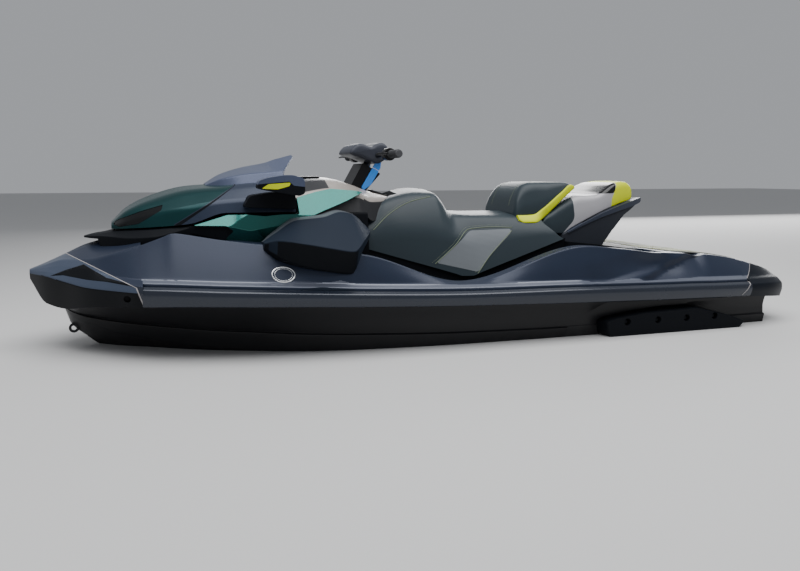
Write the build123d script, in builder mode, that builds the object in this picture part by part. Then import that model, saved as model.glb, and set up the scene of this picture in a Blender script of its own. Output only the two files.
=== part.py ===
from build123d import *
import math
import os

# Personal watercraft, in millimetres. +X points to the bow, +Y to port, +Z up.
# The origin is at the waterline, amidships, on the centreline.

os.makedirs("parts", exist_ok=True)

# Driving dimensions
LENGTH = 3450.0
BEAM = 1255.0
DRAWN_LENGTH = 3450.0  # the tables below are drawn for this length and beam
DRAWN_BEAM = 1255.0
SEAT_GAP = 0.3  # between pieces that touch but belong to different bodies
MOVE_GAP = 6.0  # between a moving piece and what it passes


def along(x):
    """A drawn place or size along the craft, at the real length."""
    return x * LENGTH / DRAWN_LENGTH


def across(y):
    """A drawn place or size across the craft, at the real beam."""
    return y * BEAM / DRAWN_BEAM


def drawn(table, ys=()):
    """A drawn table with its first column at the real length and the columns in ys at the real beam."""
    return tuple(
        (along(row[0]),) + tuple(across(v) if i in ys else v for i, v in enumerate(row[1:], start=1))
        for row in table
    )


# Rail and deck edge, seen in section, measured from the widest point of the rail
RAIL_WIDTH = 60.0  # rail's inner face to its widest point
RAIL_UNDERCUT = 14.0  # lower corner to widest point
RAIL_LIP = 26.0  # top corner to widest point
FLANGE_INSET = 34.0  # deck flange's edge to widest point
FLANGE_RISE = 12.0
DECK_FOOT_INSET = 62.0  # foot of the deck's side to widest point
DECK_FOOT_RISE = 22.0
HULL_INSET = 72.0  # hull side's top to widest point
SIDE_CROWN = 3.0  # outward swell of the deck's side

# Sheer: x, half breadth at the rail, rail's lower edge, groove above the rail,
# shoulder's y and z, how far the deck's side is dented
SHEER = drawn((
    (1300.0, 452.0, 211.0, 289.0, 270.0, 408.0, 0.0),
    (1150.0, 512.0, 214.0, 286.0, 330.0, 432.0, 0.0),
    (1019.0, 552.0, 212.0, 281.0, 380.0, 446.0, 0.0),
    (870.0, 581.0, 208.0, 275.0, 430.0, 438.0, 0.0),
    (700.0, 600.0, 202.0, 267.0, 475.0, 424.0, 0.0),
    (454.0, 617.0, 192.0, 254.0, 520.0, 390.0, 0.0),
    (22.0, 627.5, 176.0, 237.0, 532.0, 263.0, 0.0),
    (-537.0, 627.5, 160.0, 229.0, 525.0, 395.0, 0.0),
    (-736.0, 624.0, 155.0, 224.0, 515.0, 377.0, 12.0),
    (-951.0, 618.0, 149.0, 219.0, 500.0, 352.0, 34.0),
    (-1090.0, 612.0, 146.0, 216.0, 490.0, 344.0, 4.0),
    (-1200.0, 606.0, 143.0, 212.0, 482.0, 336.0, 0.0),
    (-1410.0, 590.0, 138.0, 207.0, 462.0, 306.0, 0.0),
), ys=(1, 4, 6))

# Stern: the same columns, aft of the side rails
STERN_SHEER = (SHEER[-1],) + drawn((
    (-1533.0, 570.0, 130.0, 204.0, 448.0, 277.0, 0.0),
    (-1640.0, 528.0, 120.0, 198.0, 412.0, 248.0, 0.0),
    (-1700.0, 472.0, 112.0, 186.0, 360.0, 226.0, 0.0),
    (-1725.0, 380.0, 116.0, 172.0, 290.0, 200.0, 0.0),
), ys=(1, 4, 6))

# Bow body: x, centre z, then y and z of shoulder, side foot, upper crease, lower crease, lower edge
BOW_BODY = drawn((
    (1300.0, 450.0, 270.0, 408.0, 390.0, 311.0, 440.0, 293.0, 452.0, 267.0, 438.0, 211.0),
    (1400.0, 446.0, 240.0, 385.0, 318.0, 320.0, 356.0, 303.0, 372.0, 270.0, 356.0, 207.0),
    (1500.0, 424.0, 180.0, 372.0, 225.0, 342.0, 268.0, 305.0, 288.0, 276.0, 268.0, 196.0),
    (1589.0, 384.0, 95.0, 368.0, 130.0, 345.0, 168.0, 315.0, 190.0, 292.0, 165.0, 180.0),
    (1664.0, 350.0, 48.0, 345.0, 70.0, 335.0, 92.0, 322.0, 108.0, 308.0, 82.0, 194.0),
    (1725.0, 325.0, 8.0, 322.0, 12.0, 320.0, 15.0, 316.0, 18.0, 310.0, 10.0, 286.0),
), ys=(2, 4, 6, 8, 10))

# Seam between bow bumper and deck, in plan: x, y
BOW_SEAM = drawn(((1584.0, 0.0), (1569.0, 80.0), (1517.0, 180.0), (1408.0, 316.0), (1327.0, 420.0), (1300.0, 460.0)), ys=(1,))

# Hull lines: x, keel z, chine y and z, spray strip z
HULL_LINES = drawn((
    (1600.0, 148.0, 20.0, 160.0, 168.0),
    (1589.0, 106.0, 34.0, 142.0, 158.0),
    (1520.0, 34.0, 84.0, 102.0, 134.0),
    (1500.0, 16.0, 95.0, 97.0, 130.0),
    (1400.0, -56.0, 150.0, 68.0, 116.0),
    (1300.0, -112.0, 188.0, 48.0, 104.0),
    (1150.0, -168.0, 264.0, 26.0, 94.0),
    (1019.0, -196.0, 320.0, 12.0, 86.0),
    (870.0, -216.0, 372.0, 2.0, 80.0),
    (700.0, -228.0, 430.0, -12.0, 72.0),
    (454.0, -238.0, 476.0, -34.0, 63.0),
    (22.0, -252.0, 508.0, -58.0, 49.0),
    (-537.0, -270.0, 516.0, -74.0, 41.0),
    (-951.0, -282.0, 514.0, -82.0, 40.0),
    (-1410.0, -293.0, 506.0, -88.0, 39.0),
    (-1550.0, -296.0, 502.0, -90.0, 39.0),
), ys=(2,))
TRANSOM = along(-1550.0)
CUT = 500.0  # cutting blocks reach at least this far past what they cut
STRIP_FLARE = 24.0  # spray strip's edge outside the chine
STRIP_LEDGE = 10.0

# Footwells and the deck's lower liner
LINER_FRONT = along(500.0)
LINER_REAR = along(-960.0)
LINER_HALF_WIDTH = across(500.0)
LINER_BOTTOM = 118.0
LINER_HEIGHT = 80.0
FLOOR_Z = 146.0
WELL_INNER_Y = across(288.0)

# Spine under the seat: x, z
SPINE = drawn(((372.0, 352.0), (-100.0, 212.0), (-566.0, 350.0), (-600.0, 366.0)))

# Front body that carries hood and console: x, top half width, top z
TOWER = drawn((
    (1300.0, 150.0, 472.0),
    (1204.0, 190.0, 490.0),
    (1094.0, 250.0, 503.0),
    (965.0, 292.0, 546.0),
    (690.0, 296.0, 546.0),
    (372.0, 270.0, 546.0),
), ys=(1,))
TOWER_FLARE = 26.0
TOWER_FOOT_Z = 345.0

# Storage well under the hood
BIN_FRONT = along(1210.0)
BIN_REAR = along(760.0)
BIN_HALF_WIDTH = across(165.0)
BIN_BOTTOM = 240.0
BIN_WALL = 5.0

# Engine
ENGINE_LENGTH = 620.0
ENGINE_CENTRE_X = along(60.0)
ENGINE_HALF_SECTION = ((90.0, -180.0), (190.0, -110.0), (190.0, 170.0))

# Jet drive, on the centreline at the stern
JET_Z = -125.0
TUNNEL_RADIUS = 125.0
TUNNEL_FRONT = TRANSOM + 490.0
PUMP_RADIUS = 92.0
PUMP_BORE = 80.0
PUMP_REAR = TRANSOM + 110.0
VENTURI_REAR = TRANSOM + 22.0
VENTURI_RADIUS = 50.0
VENTURI_BORE = 42.0
STATOR_FRONT = TRANSOM + 310.0
STATOR_VANES = 6
STATOR_VANE = (90.0, 5.0)  # length, thickness
STATOR_REAR = PUMP_REAR - 30.0
STATOR_TIP = 4.0
IMPELLER_RADIUS = 75.0
IMPELLER_FRONT = TRANSOM + 430.0
IMPELLER_LENGTH = 80.0
IMPELLER_BLADES = 4
BLADE_ROOT = (76.0, 5.0, 30.0)  # chord, thickness, pitch angle
BLADE_TIP = (70.0, 4.0, 62.0)
HUB_RADIUS = 30.0
SHAFT_RADIUS = 12.0
INTAKE_FRONT = TRANSOM + 910.0
INTAKE_FRONT_Z = -262.0
INTAKE_LIP = TUNNEL_FRONT + 75.0
INTAKE_LIP_Z = -300.0
INTAKE_RAMP = 260.0
SHAFT_TUNNEL_GAP = 8.0
SHAFT_TUNNEL_REACH = 50.0  # behind the top of the intake's ramp
GIMBAL_X = TRANSOM - 10.0  # nozzle, trim ring and bucket all turn about this place
NOZZLE_FRONT = 4.0  # ahead of the gimbal
NOZZLE_LENGTH = 95.0  # behind the gimbal
NOZZLE_MOUTH_RADIUS = 60.0
NOZZLE_EXIT_RADIUS = 44.0
NOZZLE_WALL = 8.0
TRIM_INNER = 74.0
TRIM_OUTER = 84.0
TRIM_FRONT = 15.0
TRIM_REAR = 30.0
EAR_INNER = 89.0
EAR_THICK = 10.0
EAR_FRONT = PUMP_REAR + 60.0
EAR_REAR = GIMBAL_X - 14.0
EAR_HEIGHT = 36.0
BUCKET_INNER = 112.0
BUCKET_WALL = 10.0
BUCKET_ARM_INNER = 104.0
BUCKET_ARM_THICK = 8.0
BUCKET_ARM_FRONT = 10.0
BUCKET_ARM_HALF = 13.0
BUCKET_START_DEG = 30.0
BUCKET_END_DEG = 86.0
PIVOT_RADIUS = 7.0
PIN_ROOT = 3.0  # a pin starts this far inside the wall that carries it
TRIM_PIN_REACH = 4.5  # into the ear
NOZZLE_PIN_REACH = 8.0  # past the trim ring's inner wall
NOZZLE_PIN_FOOT = 55.0
NOZZLE_BEND = 20.0  # straight part behind the gimbal
RIDE_PLATE_TOP = -222.0
RIDE_PLATE_THICK = 12.0


def line_at(table, x, column):
    """Value of one column of a table at x, on straight lines between its rows."""
    rows = sorted(table, key=lambda row: row[0])
    if x <= rows[0][0]:
        return rows[0][column]
    for low, high in zip(rows, rows[1:]):
        if x <= high[0]:
            share = (x - low[0]) / (high[0] - low[0])
            return low[column] + share * (high[column] - low[column])
    return rows[-1][column]


def both_sides(half):
    """Closed outline from a half outline of (y, z) points that runs from the bottom up."""
    return list(half) + [(-y, z) for y, z in reversed(half) if y > 0]


def deck_outline(row):
    x, half, low, groove, shoulder_y, shoulder_z, dent = row
    foot = (half - DECK_FOOT_INSET, groove + DECK_FOOT_RISE)
    middle_y = (foot[0] + shoulder_y) / 2 + SIDE_CROWN - dent
    middle_z = (foot[1] + shoulder_z) / 2
    return both_sides([
        (half - RAIL_WIDTH, low),
        (half - RAIL_WIDTH, groove),
        (half - FLANGE_INSET, groove),
        (half - FLANGE_INSET - 2, groove + FLANGE_RISE),
        foot,
        (middle_y, middle_z),
        (shoulder_y, shoulder_z),
    ])


def flank_half(x, z):
    """Half width of the deck's lower flank at height z."""
    row = [x] + [line_at(SHEER, x, column) for column in range(1, len(SHEER[0]))]
    foot, middle = deck_outline(row)[4:6]
    share = (z - foot[1]) / (middle[1] - foot[1])
    return foot[0] + share * (middle[0] - foot[0])


def rail_outline(row):
    half, low, groove = row[1], row[2], row[3]
    height = groove - low
    return [
        (half - RAIL_WIDTH, low),
        (half - RAIL_UNDERCUT, low),
        (half, low + 0.5 * height),
        (half - 4, groove - 10),
        (half - RAIL_LIP, groove),
        (half - RAIL_WIDTH, groove),
    ]


def stern_outline(row):
    x, half, low, groove, shoulder_y, shoulder_z, dent = row
    height = groove - low
    return both_sides([
        (half - RAIL_UNDERCUT, low),
        (half, low + 0.5 * height),
        (half - 4, groove - 10),
        (half - FLANGE_INSET, groove + FLANGE_RISE),
        (half - DECK_FOOT_INSET, groove + DECK_FOOT_RISE),
        (shoulder_y, shoulder_z),
    ])


def bow_outline(row):
    centre = row[1]
    pairs = [(row[i], row[i + 1]) for i in range(2, len(row), 2)]
    half = list(reversed(pairs)) + [(0, centre)]
    return both_sides(half)


def rail_bottom(x):
    """Height of the flat joint between hull and deck."""
    if x > SHEER[0][0]:
        return line_at([(row[0], row[11]) for row in BOW_BODY], x, 1)
    if x < SHEER[-1][0]:
        return line_at(STERN_SHEER, x, 2)
    return line_at(SHEER, x, 2)


def hull_top_half(x):
    if x > SHEER[0][0]:
        return line_at([(row[0], row[10]) for row in BOW_BODY], x, 1) - 58
    if x < SHEER[-1][0]:
        return line_at(STERN_SHEER, x, 1) - HULL_INSET
    return line_at(SHEER, x, 1) - HULL_INSET


def hull_outline(x):
    keel = line_at(HULL_LINES, x, 1)
    chine_y = line_at(HULL_LINES, x, 2)
    chine_z = line_at(HULL_LINES, x, 3)
    strip_z = line_at(HULL_LINES, x, 4)
    top = rail_bottom(x)
    flare = min(STRIP_FLARE, 0.3 * chine_y)
    ledge = min(STRIP_LEDGE, 0.1 * chine_y)
    top_y = max(hull_top_half(x), chine_y + flare)
    return both_sides([
        (0, keel),
        (chine_y, chine_z),
        (chine_y + flare, strip_z),
        (chine_y + flare - ledge, strip_z + ledge / 2),
        (top_y, top),
    ])


# Engine, one plain block
with BuildPart() as engine:
    with BuildSketch(Plane.YZ.offset(ENGINE_CENTRE_X - ENGINE_LENGTH / 2)):
        with BuildLine():
            Polyline(*both_sides(ENGINE_HALF_SECTION), close=True)
        make_face()
    extrude(amount=ENGINE_LENGTH)
engine.part.label = "engine_block"
export_step(engine.part, "parts/engine_block.step")

# Hull
HULL_STATIONS = (
    tuple(row[0] for row in HULL_LINES[:4])
    + (BOW_BODY[1][0],)
    + tuple(row[0] for row in SHEER)
    + (STERN_SHEER[1][0], TRANSOM)
)
RECESS_DEPTH_Y = across(532.0)
RECESS = drawn(((-448.0, 44.0), (-640.0, 146.0), (-1560.0, 128.0), (-1560.0, -130.0), (-448.0, -130.0)))

with BuildPart() as hull:
    for station in HULL_STATIONS:
        with BuildSketch(Plane.YZ.offset(station)):
            with BuildLine():
                Polyline(*hull_outline(station), close=True)
            make_face()
    loft(ruled=True)
    # flat recesses behind the sponsons
    for side in (1, -1):
        with BuildSketch(Plane.XZ.offset(-side * RECESS_DEPTH_Y)):
            with BuildLine():
                Polyline(*RECESS, close=True)
            make_face()
        extrude(amount=-side * CUT, mode=Mode.SUBTRACT)
    # room for the deck's liner
    liner_box = Location(((LINER_FRONT + LINER_REAR) / 2, 0, LINER_BOTTOM))
    with Locations(liner_box):
        Box(
            LINER_FRONT - LINER_REAR,
            2 * LINER_HALF_WIDTH,
            CUT,
            align=(Align.CENTER, Align.CENTER, Align.MIN),
            mode=Mode.SUBTRACT,
        )
    add(engine.part, mode=Mode.SUBTRACT)
    # jet tunnel, arched, open below and aft
    with BuildSketch(Plane.YZ.offset(TRANSOM - 1)):
        with Locations((0, JET_Z)):
            Circle(TUNNEL_RADIUS)
        with Locations((0, JET_Z)):
            Rectangle(2 * TUNNEL_RADIUS, CUT, align=(Align.CENTER, Align.MAX))
    extrude(amount=TUNNEL_FRONT - TRANSOM + 1, mode=Mode.SUBTRACT)
    # water intake, rising from the keel to the pump
    with BuildSketch(Plane.XZ.offset(-PUMP_BORE)):
        with BuildLine():
            Polyline(
                (TUNNEL_FRONT, JET_Z + PUMP_BORE),
                (TUNNEL_FRONT, JET_Z - PUMP_BORE),
                (INTAKE_LIP, INTAKE_LIP_Z),
                (INTAKE_LIP, -CUT),
                (INTAKE_FRONT, -CUT),
                (INTAKE_FRONT, INTAKE_FRONT_Z),
                (INTAKE_FRONT - INTAKE_RAMP, JET_Z + PUMP_BORE - 30),
                close=True,
            )
        make_face()
    extrude(amount=2 * PUMP_BORE, mode=Mode.SUBTRACT)
    # shaft tunnel from the engine to the intake
    with Locations(Location((ENGINE_CENTRE_X - ENGINE_LENGTH / 2, 0, JET_Z), (0, 90, 0))):
        Cylinder(
            SHAFT_RADIUS + SHAFT_TUNNEL_GAP,
            ENGINE_CENTRE_X - ENGINE_LENGTH / 2 - (INTAKE_FRONT - INTAKE_RAMP) + SHAFT_TUNNEL_REACH,
            align=(Align.CENTER, Align.CENTER, Align.MAX),
            mode=Mode.SUBTRACT,
        )
hull.part.label = "hull"
export_step(hull.part, "parts/hull.step")

# Bow body, split by the seam into bumper and fore deck
with BuildPart() as bow_body:
    for row in BOW_BODY:
        with BuildSketch(Plane.YZ.offset(row[0])):
            with BuildLine():
                Polyline(*bow_outline(row), close=True)
            make_face()
    loft(ruled=True)

PRISM_HEIGHT = 600.0
SEAM_BACK = SHEER[0][0] - 10
seam_edge = BOW_SEAM[-1][1]
seam_plan = list(BOW_SEAM) + [(SEAM_BACK, seam_edge), (SEAM_BACK, -seam_edge)]
seam_plan += [(x, -y) for x, y in reversed(BOW_SEAM)][:-1]
with BuildPart() as seam_prism:
    with BuildSketch(Plane.XY):
        with BuildLine():
            Polyline(*seam_plan, close=True)
        make_face()
    extrude(amount=PRISM_HEIGHT)

with BuildPart() as bow_bumper:
    add(bow_body.part)
    add(seam_prism.part, mode=Mode.SUBTRACT)
bow_bumper.part.label = "bow_bumper"
export_step(bow_bumper.part, "parts/bow_bumper.step")

# Stern body, split into bumper and rear platform
with BuildPart() as stern_body:
    for row in STERN_SHEER:
        with BuildSketch(Plane.YZ.offset(row[0])):
            with BuildLine():
                Polyline(*stern_outline(row), close=True)
            make_face()
    loft(ruled=True)

PLATFORM_PLAN = drawn(
    ((-1410.0, 552.0), (-1470.0, 500.0), (-1565.0, 400.0), (-1612.0, 350.0), (-1650.0, 290.0)),
    ys=(1,),
)
platform_points = list(PLATFORM_PLAN) + [(x, -y) for x, y in reversed(PLATFORM_PLAN)]
with BuildPart() as platform_prism:
    with BuildSketch(Plane.XY):
        with BuildLine():
            Polyline(*platform_points, close=True)
        make_face()
    extrude(amount=PRISM_HEIGHT)

with BuildPart() as stern_bumper:
    add(stern_body.part)
    add(platform_prism.part, mode=Mode.SUBTRACT)
stern_bumper.part.label = "stern_bumper"
export_step(stern_bumper.part, "parts/stern_bumper.step")

# Side rails
for side, name in ((1, "port"), (-1, "starboard")):
    with BuildPart() as rail:
        for row in SHEER:
            with BuildSketch(Plane.YZ.offset(row[0])):
                with BuildLine():
                    Polyline(*[(side * y, z) for y, z in rail_outline(row)], close=True)
                make_face()
        loft(ruled=True)
    rail.part.label = f"side_rail_{name}"
    export_step(rail.part, f"parts/side_rail_{name}.step")

# Deck
WELL_TOP = 600.0
WELL_PROFILE = drawn((
    (470.0, 330.0),
    (200.0, FLOOR_Z),
    (-840.0, FLOOR_Z),
    (-960.0, 300.0),
    (-1010.0, 345.0),
    (-1010.0, WELL_TOP),
    (470.0, WELL_TOP),
))
WELL_PLAN = drawn(((500.0, 288.0), (500.0, 488.0), (-1020.0, 462.0), (-1020.0, 308.0), (-860.0, 288.0)), ys=(1,))

with BuildPart() as well_port:
    with BuildSketch(Plane.XY):
        with BuildLine():
            Polyline(*WELL_PLAN, close=True)
        make_face()
    extrude(amount=WELL_TOP)
    with BuildSketch(Plane.XZ):
        with BuildLine():
            Polyline(*WELL_PROFILE, close=True)
        make_face()
    extrude(amount=-WELL_TOP, mode=Mode.INTERSECT)

with BuildPart() as spine_cut:
    with BuildSketch(Plane.XZ.offset(-(WELL_INNER_Y + 1))):
        with BuildLine():
            Polyline(*SPINE, (SPINE[-1][0], WELL_TOP), (SPINE[0][0], WELL_TOP), close=True)
        make_face()
    extrude(amount=2 * (WELL_INNER_Y + 1))

with BuildPart() as storage_well:
    with BuildSketch(Plane.XZ.offset(-BIN_HALF_WIDTH)):
        with BuildLine():
            Polyline(
                (BIN_FRONT, BIN_BOTTOM),
                (BIN_FRONT, line_at(TOWER, BIN_FRONT, 2)),
                *[(x, z) for x, y, z in TOWER if BIN_REAR < x < BIN_FRONT],
                (BIN_REAR, line_at(TOWER, BIN_REAR, 2)),
                (BIN_REAR, BIN_BOTTOM),
                close=True,
            )
        make_face()
    extrude(amount=2 * BIN_HALF_WIDTH)

with BuildPart() as storage_bin:
    add(storage_well.part)
    with Locations(((BIN_FRONT + BIN_REAR) / 2, 0, BIN_BOTTOM + BIN_WALL)):
        Box(
            BIN_FRONT - BIN_REAR - 2 * BIN_WALL,
            2 * (BIN_HALF_WIDTH - BIN_WALL),
            CUT,
            align=(Align.CENTER, Align.CENTER, Align.MIN),
            mode=Mode.SUBTRACT,
        )
storage_bin.part.label = "storage_bin"
export_step(storage_bin.part, "parts/storage_bin.step")

with BuildPart() as tower:
    for x, top_y, top_z in TOWER:
        with BuildSketch(Plane.YZ.offset(x)):
            with BuildLine():
                Polyline(*both_sides([(top_y + TOWER_FLARE, TOWER_FOOT_Z), (top_y, top_z)]), close=True)
            make_face()
    loft(ruled=True)

with BuildPart() as deck:
    for row in SHEER:
        with BuildSketch(Plane.YZ.offset(row[0])):
            with BuildLine():
                Polyline(*deck_outline(row), close=True)
            make_face()
    loft(ruled=True)
    with Locations(liner_box):
        Box(
            LINER_FRONT - LINER_REAR,
            2 * LINER_HALF_WIDTH,
            LINER_HEIGHT,
            align=(Align.CENTER, Align.CENTER, Align.MIN),
        )
    add(bow_body.part.intersect(seam_prism.part))
    add(stern_body.part.intersect(platform_prism.part))
    add(tower.part)
    add(well_port.part, mode=Mode.SUBTRACT)
    add(mirror(well_port.part, about=Plane.XZ, mode=Mode.PRIVATE), mode=Mode.SUBTRACT)
    add(spine_cut.part, mode=Mode.SUBTRACT)
    add(storage_well.part, mode=Mode.SUBTRACT)
    add(engine.part, mode=Mode.SUBTRACT)
deck.part.label = "deck"
export_step(deck.part, "parts/deck.step")

# Hood form: x, then y and z of foot, flank, top edge, and the centre z
HOOD_FORM = drawn((
    (1404.0, 64.0, 485.0, 62.0, 497.0, 44.0, 507.0, 512.0),
    (1346.0, 128.0, 489.0, 130.0, 515.0, 95.0, 555.0, 569.0),
    (1242.0, 205.0, 497.0, 190.0, 545.0, 130.0, 600.0, 621.0),
    (1107.0, 272.0, 511.0, 255.0, 575.0, 165.0, 640.0, 657.0),
    (965.0, 300.0, 554.0, 285.0, 600.0, 205.0, 655.0, 668.0),
    (820.0, 312.0, 554.0, 300.0, 605.0, 215.0, 670.0, 690.0),
    (690.0, 315.0, 554.0, 303.0, 605.0, 215.0, 670.0, 695.0),
), ys=(1, 3, 5))

# Splitter: x, y and z of outer edge, y and z of shelf under the hood, centre z, underside z
SPLITTER = drawn((
    (1513.0, 10.0, 453.0, 6.0, 455.0, 456.0, 449.0),
    (1484.0, 50.0, 456.0, 30.0, 461.0, 464.0, 447.0),
    (1452.0, 85.0, 458.0, 50.0, 466.0, 470.0, 446.0),
    (1444.0, 94.0, 458.0, 55.0, 467.0, 471.0, 400.0),
    (1401.0, 140.0, 457.0, 72.0, 476.0, 478.0, 380.0),
    (1346.0, 185.0, 454.0, 128.0, 481.0, 483.0, 380.0),
    (1242.0, 247.0, 461.0, 205.0, 489.0, 490.0, 380.0),
    (1183.0, 262.0, 474.0, 236.0, 496.0, 497.0, 380.0),
    (1100.0, 278.0, 500.0, 262.0, 505.0, 506.0, 400.0),
), ys=(1, 3))
HOOD_PIVOT = (along(1405.0), 0.0, 485.0)
HINGE_PAD_FRONT = along(1403.0)
HINGE_PAD_REAR = along(1362.0)
HINGE_PAD_HALF_WIDTH = across(45.0)
HINGE_PAD_BOTTOM = 467.0

with BuildPart() as splitter:
    for x, edge_y, edge_z, shelf_y, shelf_z, centre_z, under_z in SPLITTER:
        with BuildSketch(Plane.YZ.offset(x)):
            with BuildLine():
                half = [(edge_y, under_z), (edge_y, edge_z), (shelf_y, shelf_z), (0, centre_z)]
                Polyline(*both_sides(half), close=True)
            make_face()
    loft(ruled=True)
    # pad that carries the hood at its hinge
    with BuildSketch(Plane.XZ.offset(-HINGE_PAD_HALF_WIDTH)):
        with BuildLine():
            Polyline(
                (HINGE_PAD_FRONT, HOOD_PIVOT[2] - SEAT_GAP),
                (HINGE_PAD_REAR, line_at(HOOD_FORM, HINGE_PAD_REAR, 2) - SEAT_GAP),
                (HINGE_PAD_REAR, HINGE_PAD_BOTTOM),
                (HINGE_PAD_FRONT, HINGE_PAD_BOTTOM),
                close=True,
            )
        make_face()
    extrude(amount=2 * HINGE_PAD_HALF_WIDTH)
    add(deck.part, mode=Mode.SUBTRACT)
    add(storage_well.part, mode=Mode.SUBTRACT)
splitter.part.label = "splitter"
export_step(splitter.part, "parts/splitter.step")

HOOD_LINER_WALL = 34.0
HOOD_LINER_SHIFT = 20.0
HOOD_LINER_DROP = 6.0
FAIRING_WALL = 10.0
FAIRING_REGION = drawn(
    ((1165.0, 509.0), (921.0, 662.0), (921.0, 900.0), (1600.0, 900.0), (1600.0, 400.0), (1165.0, 400.0))
)
LAMP_OUTLINE = drawn(((1372.0, 524.0), (1290.0, 556.0), (1204.0, 584.0), (1236.0, 549.0), (1323.0, 514.0)))


def hood_outline(row, inset, drop):
    x, foot_y, foot_z, flank_y, flank_z, edge_y, edge_z, centre_z = row
    return both_sides([
        (foot_y - inset, foot_z - drop),
        (flank_y - inset, flank_z - 0.4 * inset),
        (edge_y - 0.6 * inset, edge_z - inset),
        (0, centre_z - inset),
    ])


with BuildPart() as hood_form:
    for row in HOOD_FORM:
        with BuildSketch(Plane.YZ.offset(row[0])):
            with BuildLine():
                Polyline(*hood_outline(row, 0, 0), close=True)
            make_face()
    loft(ruled=True)

with BuildPart() as fairing_inner:
    for row in HOOD_FORM:
        with BuildSketch(Plane.YZ.offset(row[0] - (FAIRING_WALL if row is HOOD_FORM[0] else 0))):
            with BuildLine():
                Polyline(*hood_outline(row, FAIRING_WALL, 1), close=True)
            make_face()
    loft(ruled=True)

with BuildPart() as hood_hollow:
    for row in HOOD_FORM[1:-1]:
        with BuildSketch(Plane.YZ.offset(row[0] - HOOD_LINER_SHIFT)):
            with BuildLine():
                Polyline(*hood_outline(row, HOOD_LINER_WALL, HOOD_LINER_DROP), close=True)
            make_face()
    loft(ruled=True)

with BuildPart() as fairing_region:
    with BuildSketch(Plane.XZ):
        with BuildLine():
            Polyline(*FAIRING_REGION, close=True)
        make_face()
    extrude(amount=CUT, both=True)

with BuildPart() as lamp_prism:
    with BuildSketch(Plane.XZ):
        with BuildLine():
            Polyline(*LAMP_OUTLINE, close=True)
        make_face()
    extrude(amount=CUT, both=True)

with BuildPart() as fairing_skin:
    add(hood_form.part.intersect(fairing_region.part))
    add(fairing_inner.part, mode=Mode.SUBTRACT)

with BuildPart() as lamp_recesses:
    add(fairing_skin.part.intersect(lamp_prism.part))
lamp_recesses.part.label = "lamp_recesses"
export_step(lamp_recesses.part, "parts/lamp_recesses.step")

with BuildPart() as nose_fairing:
    add(fairing_skin.part)
    add(lamp_prism.part, mode=Mode.SUBTRACT)
nose_fairing.part.label = "nose_fairing"
export_step(nose_fairing.part, "parts/nose_fairing.step")

with BuildPart() as hood:
    add(hood_form.part)
    add(fairing_skin.part, mode=Mode.SUBTRACT)
    add(hood_hollow.part, mode=Mode.SUBTRACT)
hood.part.label = "hood"
export_step(hood.part, "parts/hood.step")

# Cowl: x, foot y and z, edge y and z, ridge z
COWL = drawn((
    (1023.0, 60.0, 652.0, 55.0, 661.0, 668.0),
    (959.0, 140.0, 655.0, 120.0, 688.0, 706.0),
    (868.0, 185.0, 668.0, 160.0, 706.0, 735.0),
    (759.0, 200.0, 672.0, 175.0, 716.0, 757.0),
    (722.0, 196.0, 690.0, 172.0, 720.0, 770.0),
    (700.0, 150.0, 722.0, 146.0, 734.0, 776.0),
    (644.0, 40.0, 777.0, 38.0, 782.0, 791.0),
), ys=(1, 3))
with BuildPart() as cowl:
    for x, foot_y, foot_z, edge_y, edge_z, ridge_z in COWL:
        with BuildSketch(Plane.YZ.offset(x)):
            with BuildLine():
                Polyline(*both_sides([(foot_y, foot_z), (edge_y, edge_z), (0, ridge_z)]), close=True)
            make_face()
    loft(ruled=True)
    add(hood_form.part, mode=Mode.SUBTRACT)
cowl.part.label = "cowl"
export_step(cowl.part, "parts/cowl.step")

# Console: x, foot y and z, flank y and z, edge y and z, centre z
CONSOLE = drawn((
    (684.0, 292.0, 546.0, 282.0, 615.0, 160.0, 680.0, 690.0),
    (514.0, 282.0, 546.0, 255.0, 640.0, 150.0, 686.0, 692.0),
    (399.0, 266.0, 546.0, 235.0, 625.0, 140.0, 658.0, 664.0),
    (340.0, 240.0, 506.0, 215.0, 600.0, 130.0, 636.0, 642.0),
    (212.0, 118.0, 600.0, 112.0, 602.0, 100.0, 604.0, 606.0),
), ys=(1, 3, 5))
TUB_FRONT = along(296.0)
TUB_REAR = along(226.0)
TUB_HALF_WIDTH = across(92.0)
TUB_BOTTOM = 486.0
TUB_WALL = 6.0
TUB_HEIGHT = 110.0
LID_OUTLINE = drawn(((300.0, 637.2), (214.0, 610.0)))
LID_THICK = 7.0
LID_HALF_WIDTH = across(100.0)
LID_PIVOT = (along(300.0), 0.0, 634.2)
LID_BARREL = 4.0
LID_SPACE_FRONT = 12.0  # room ahead of the lid and behind it
LID_SPACE_REAR = 30.0
GAUGE_FRONT = along(636.0)
GAUGE_REAR = along(536.0)
GAUGE_HALF_WIDTH = across(84.0)
GAUGE_THICK = 9.0
GAUGE_TOP = 697.0

with BuildPart() as console_body:
    for x, foot_y, foot_z, flank_y, flank_z, edge_y, edge_z, centre_z in CONSOLE:
        with BuildSketch(Plane.YZ.offset(x)):
            with BuildLine():
                Polyline(
                    *both_sides([(foot_y, foot_z), (flank_y, flank_z), (edge_y, edge_z), (0, centre_z)]),
                    close=True,
                )
            make_face()
    loft(ruled=True)

with BuildPart() as tub_block:
    with Locations(((TOWER[-1][0] + TUB_REAR - TUB_WALL) / 2, 0, TUB_BOTTOM - TUB_WALL)):
        Box(
            TOWER[-1][0] - TUB_REAR + TUB_WALL,
            2 * (TUB_HALF_WIDTH + TUB_WALL),
            TUB_HEIGHT,
            align=(Align.CENTER, Align.CENTER, Align.MIN),
        )

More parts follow.
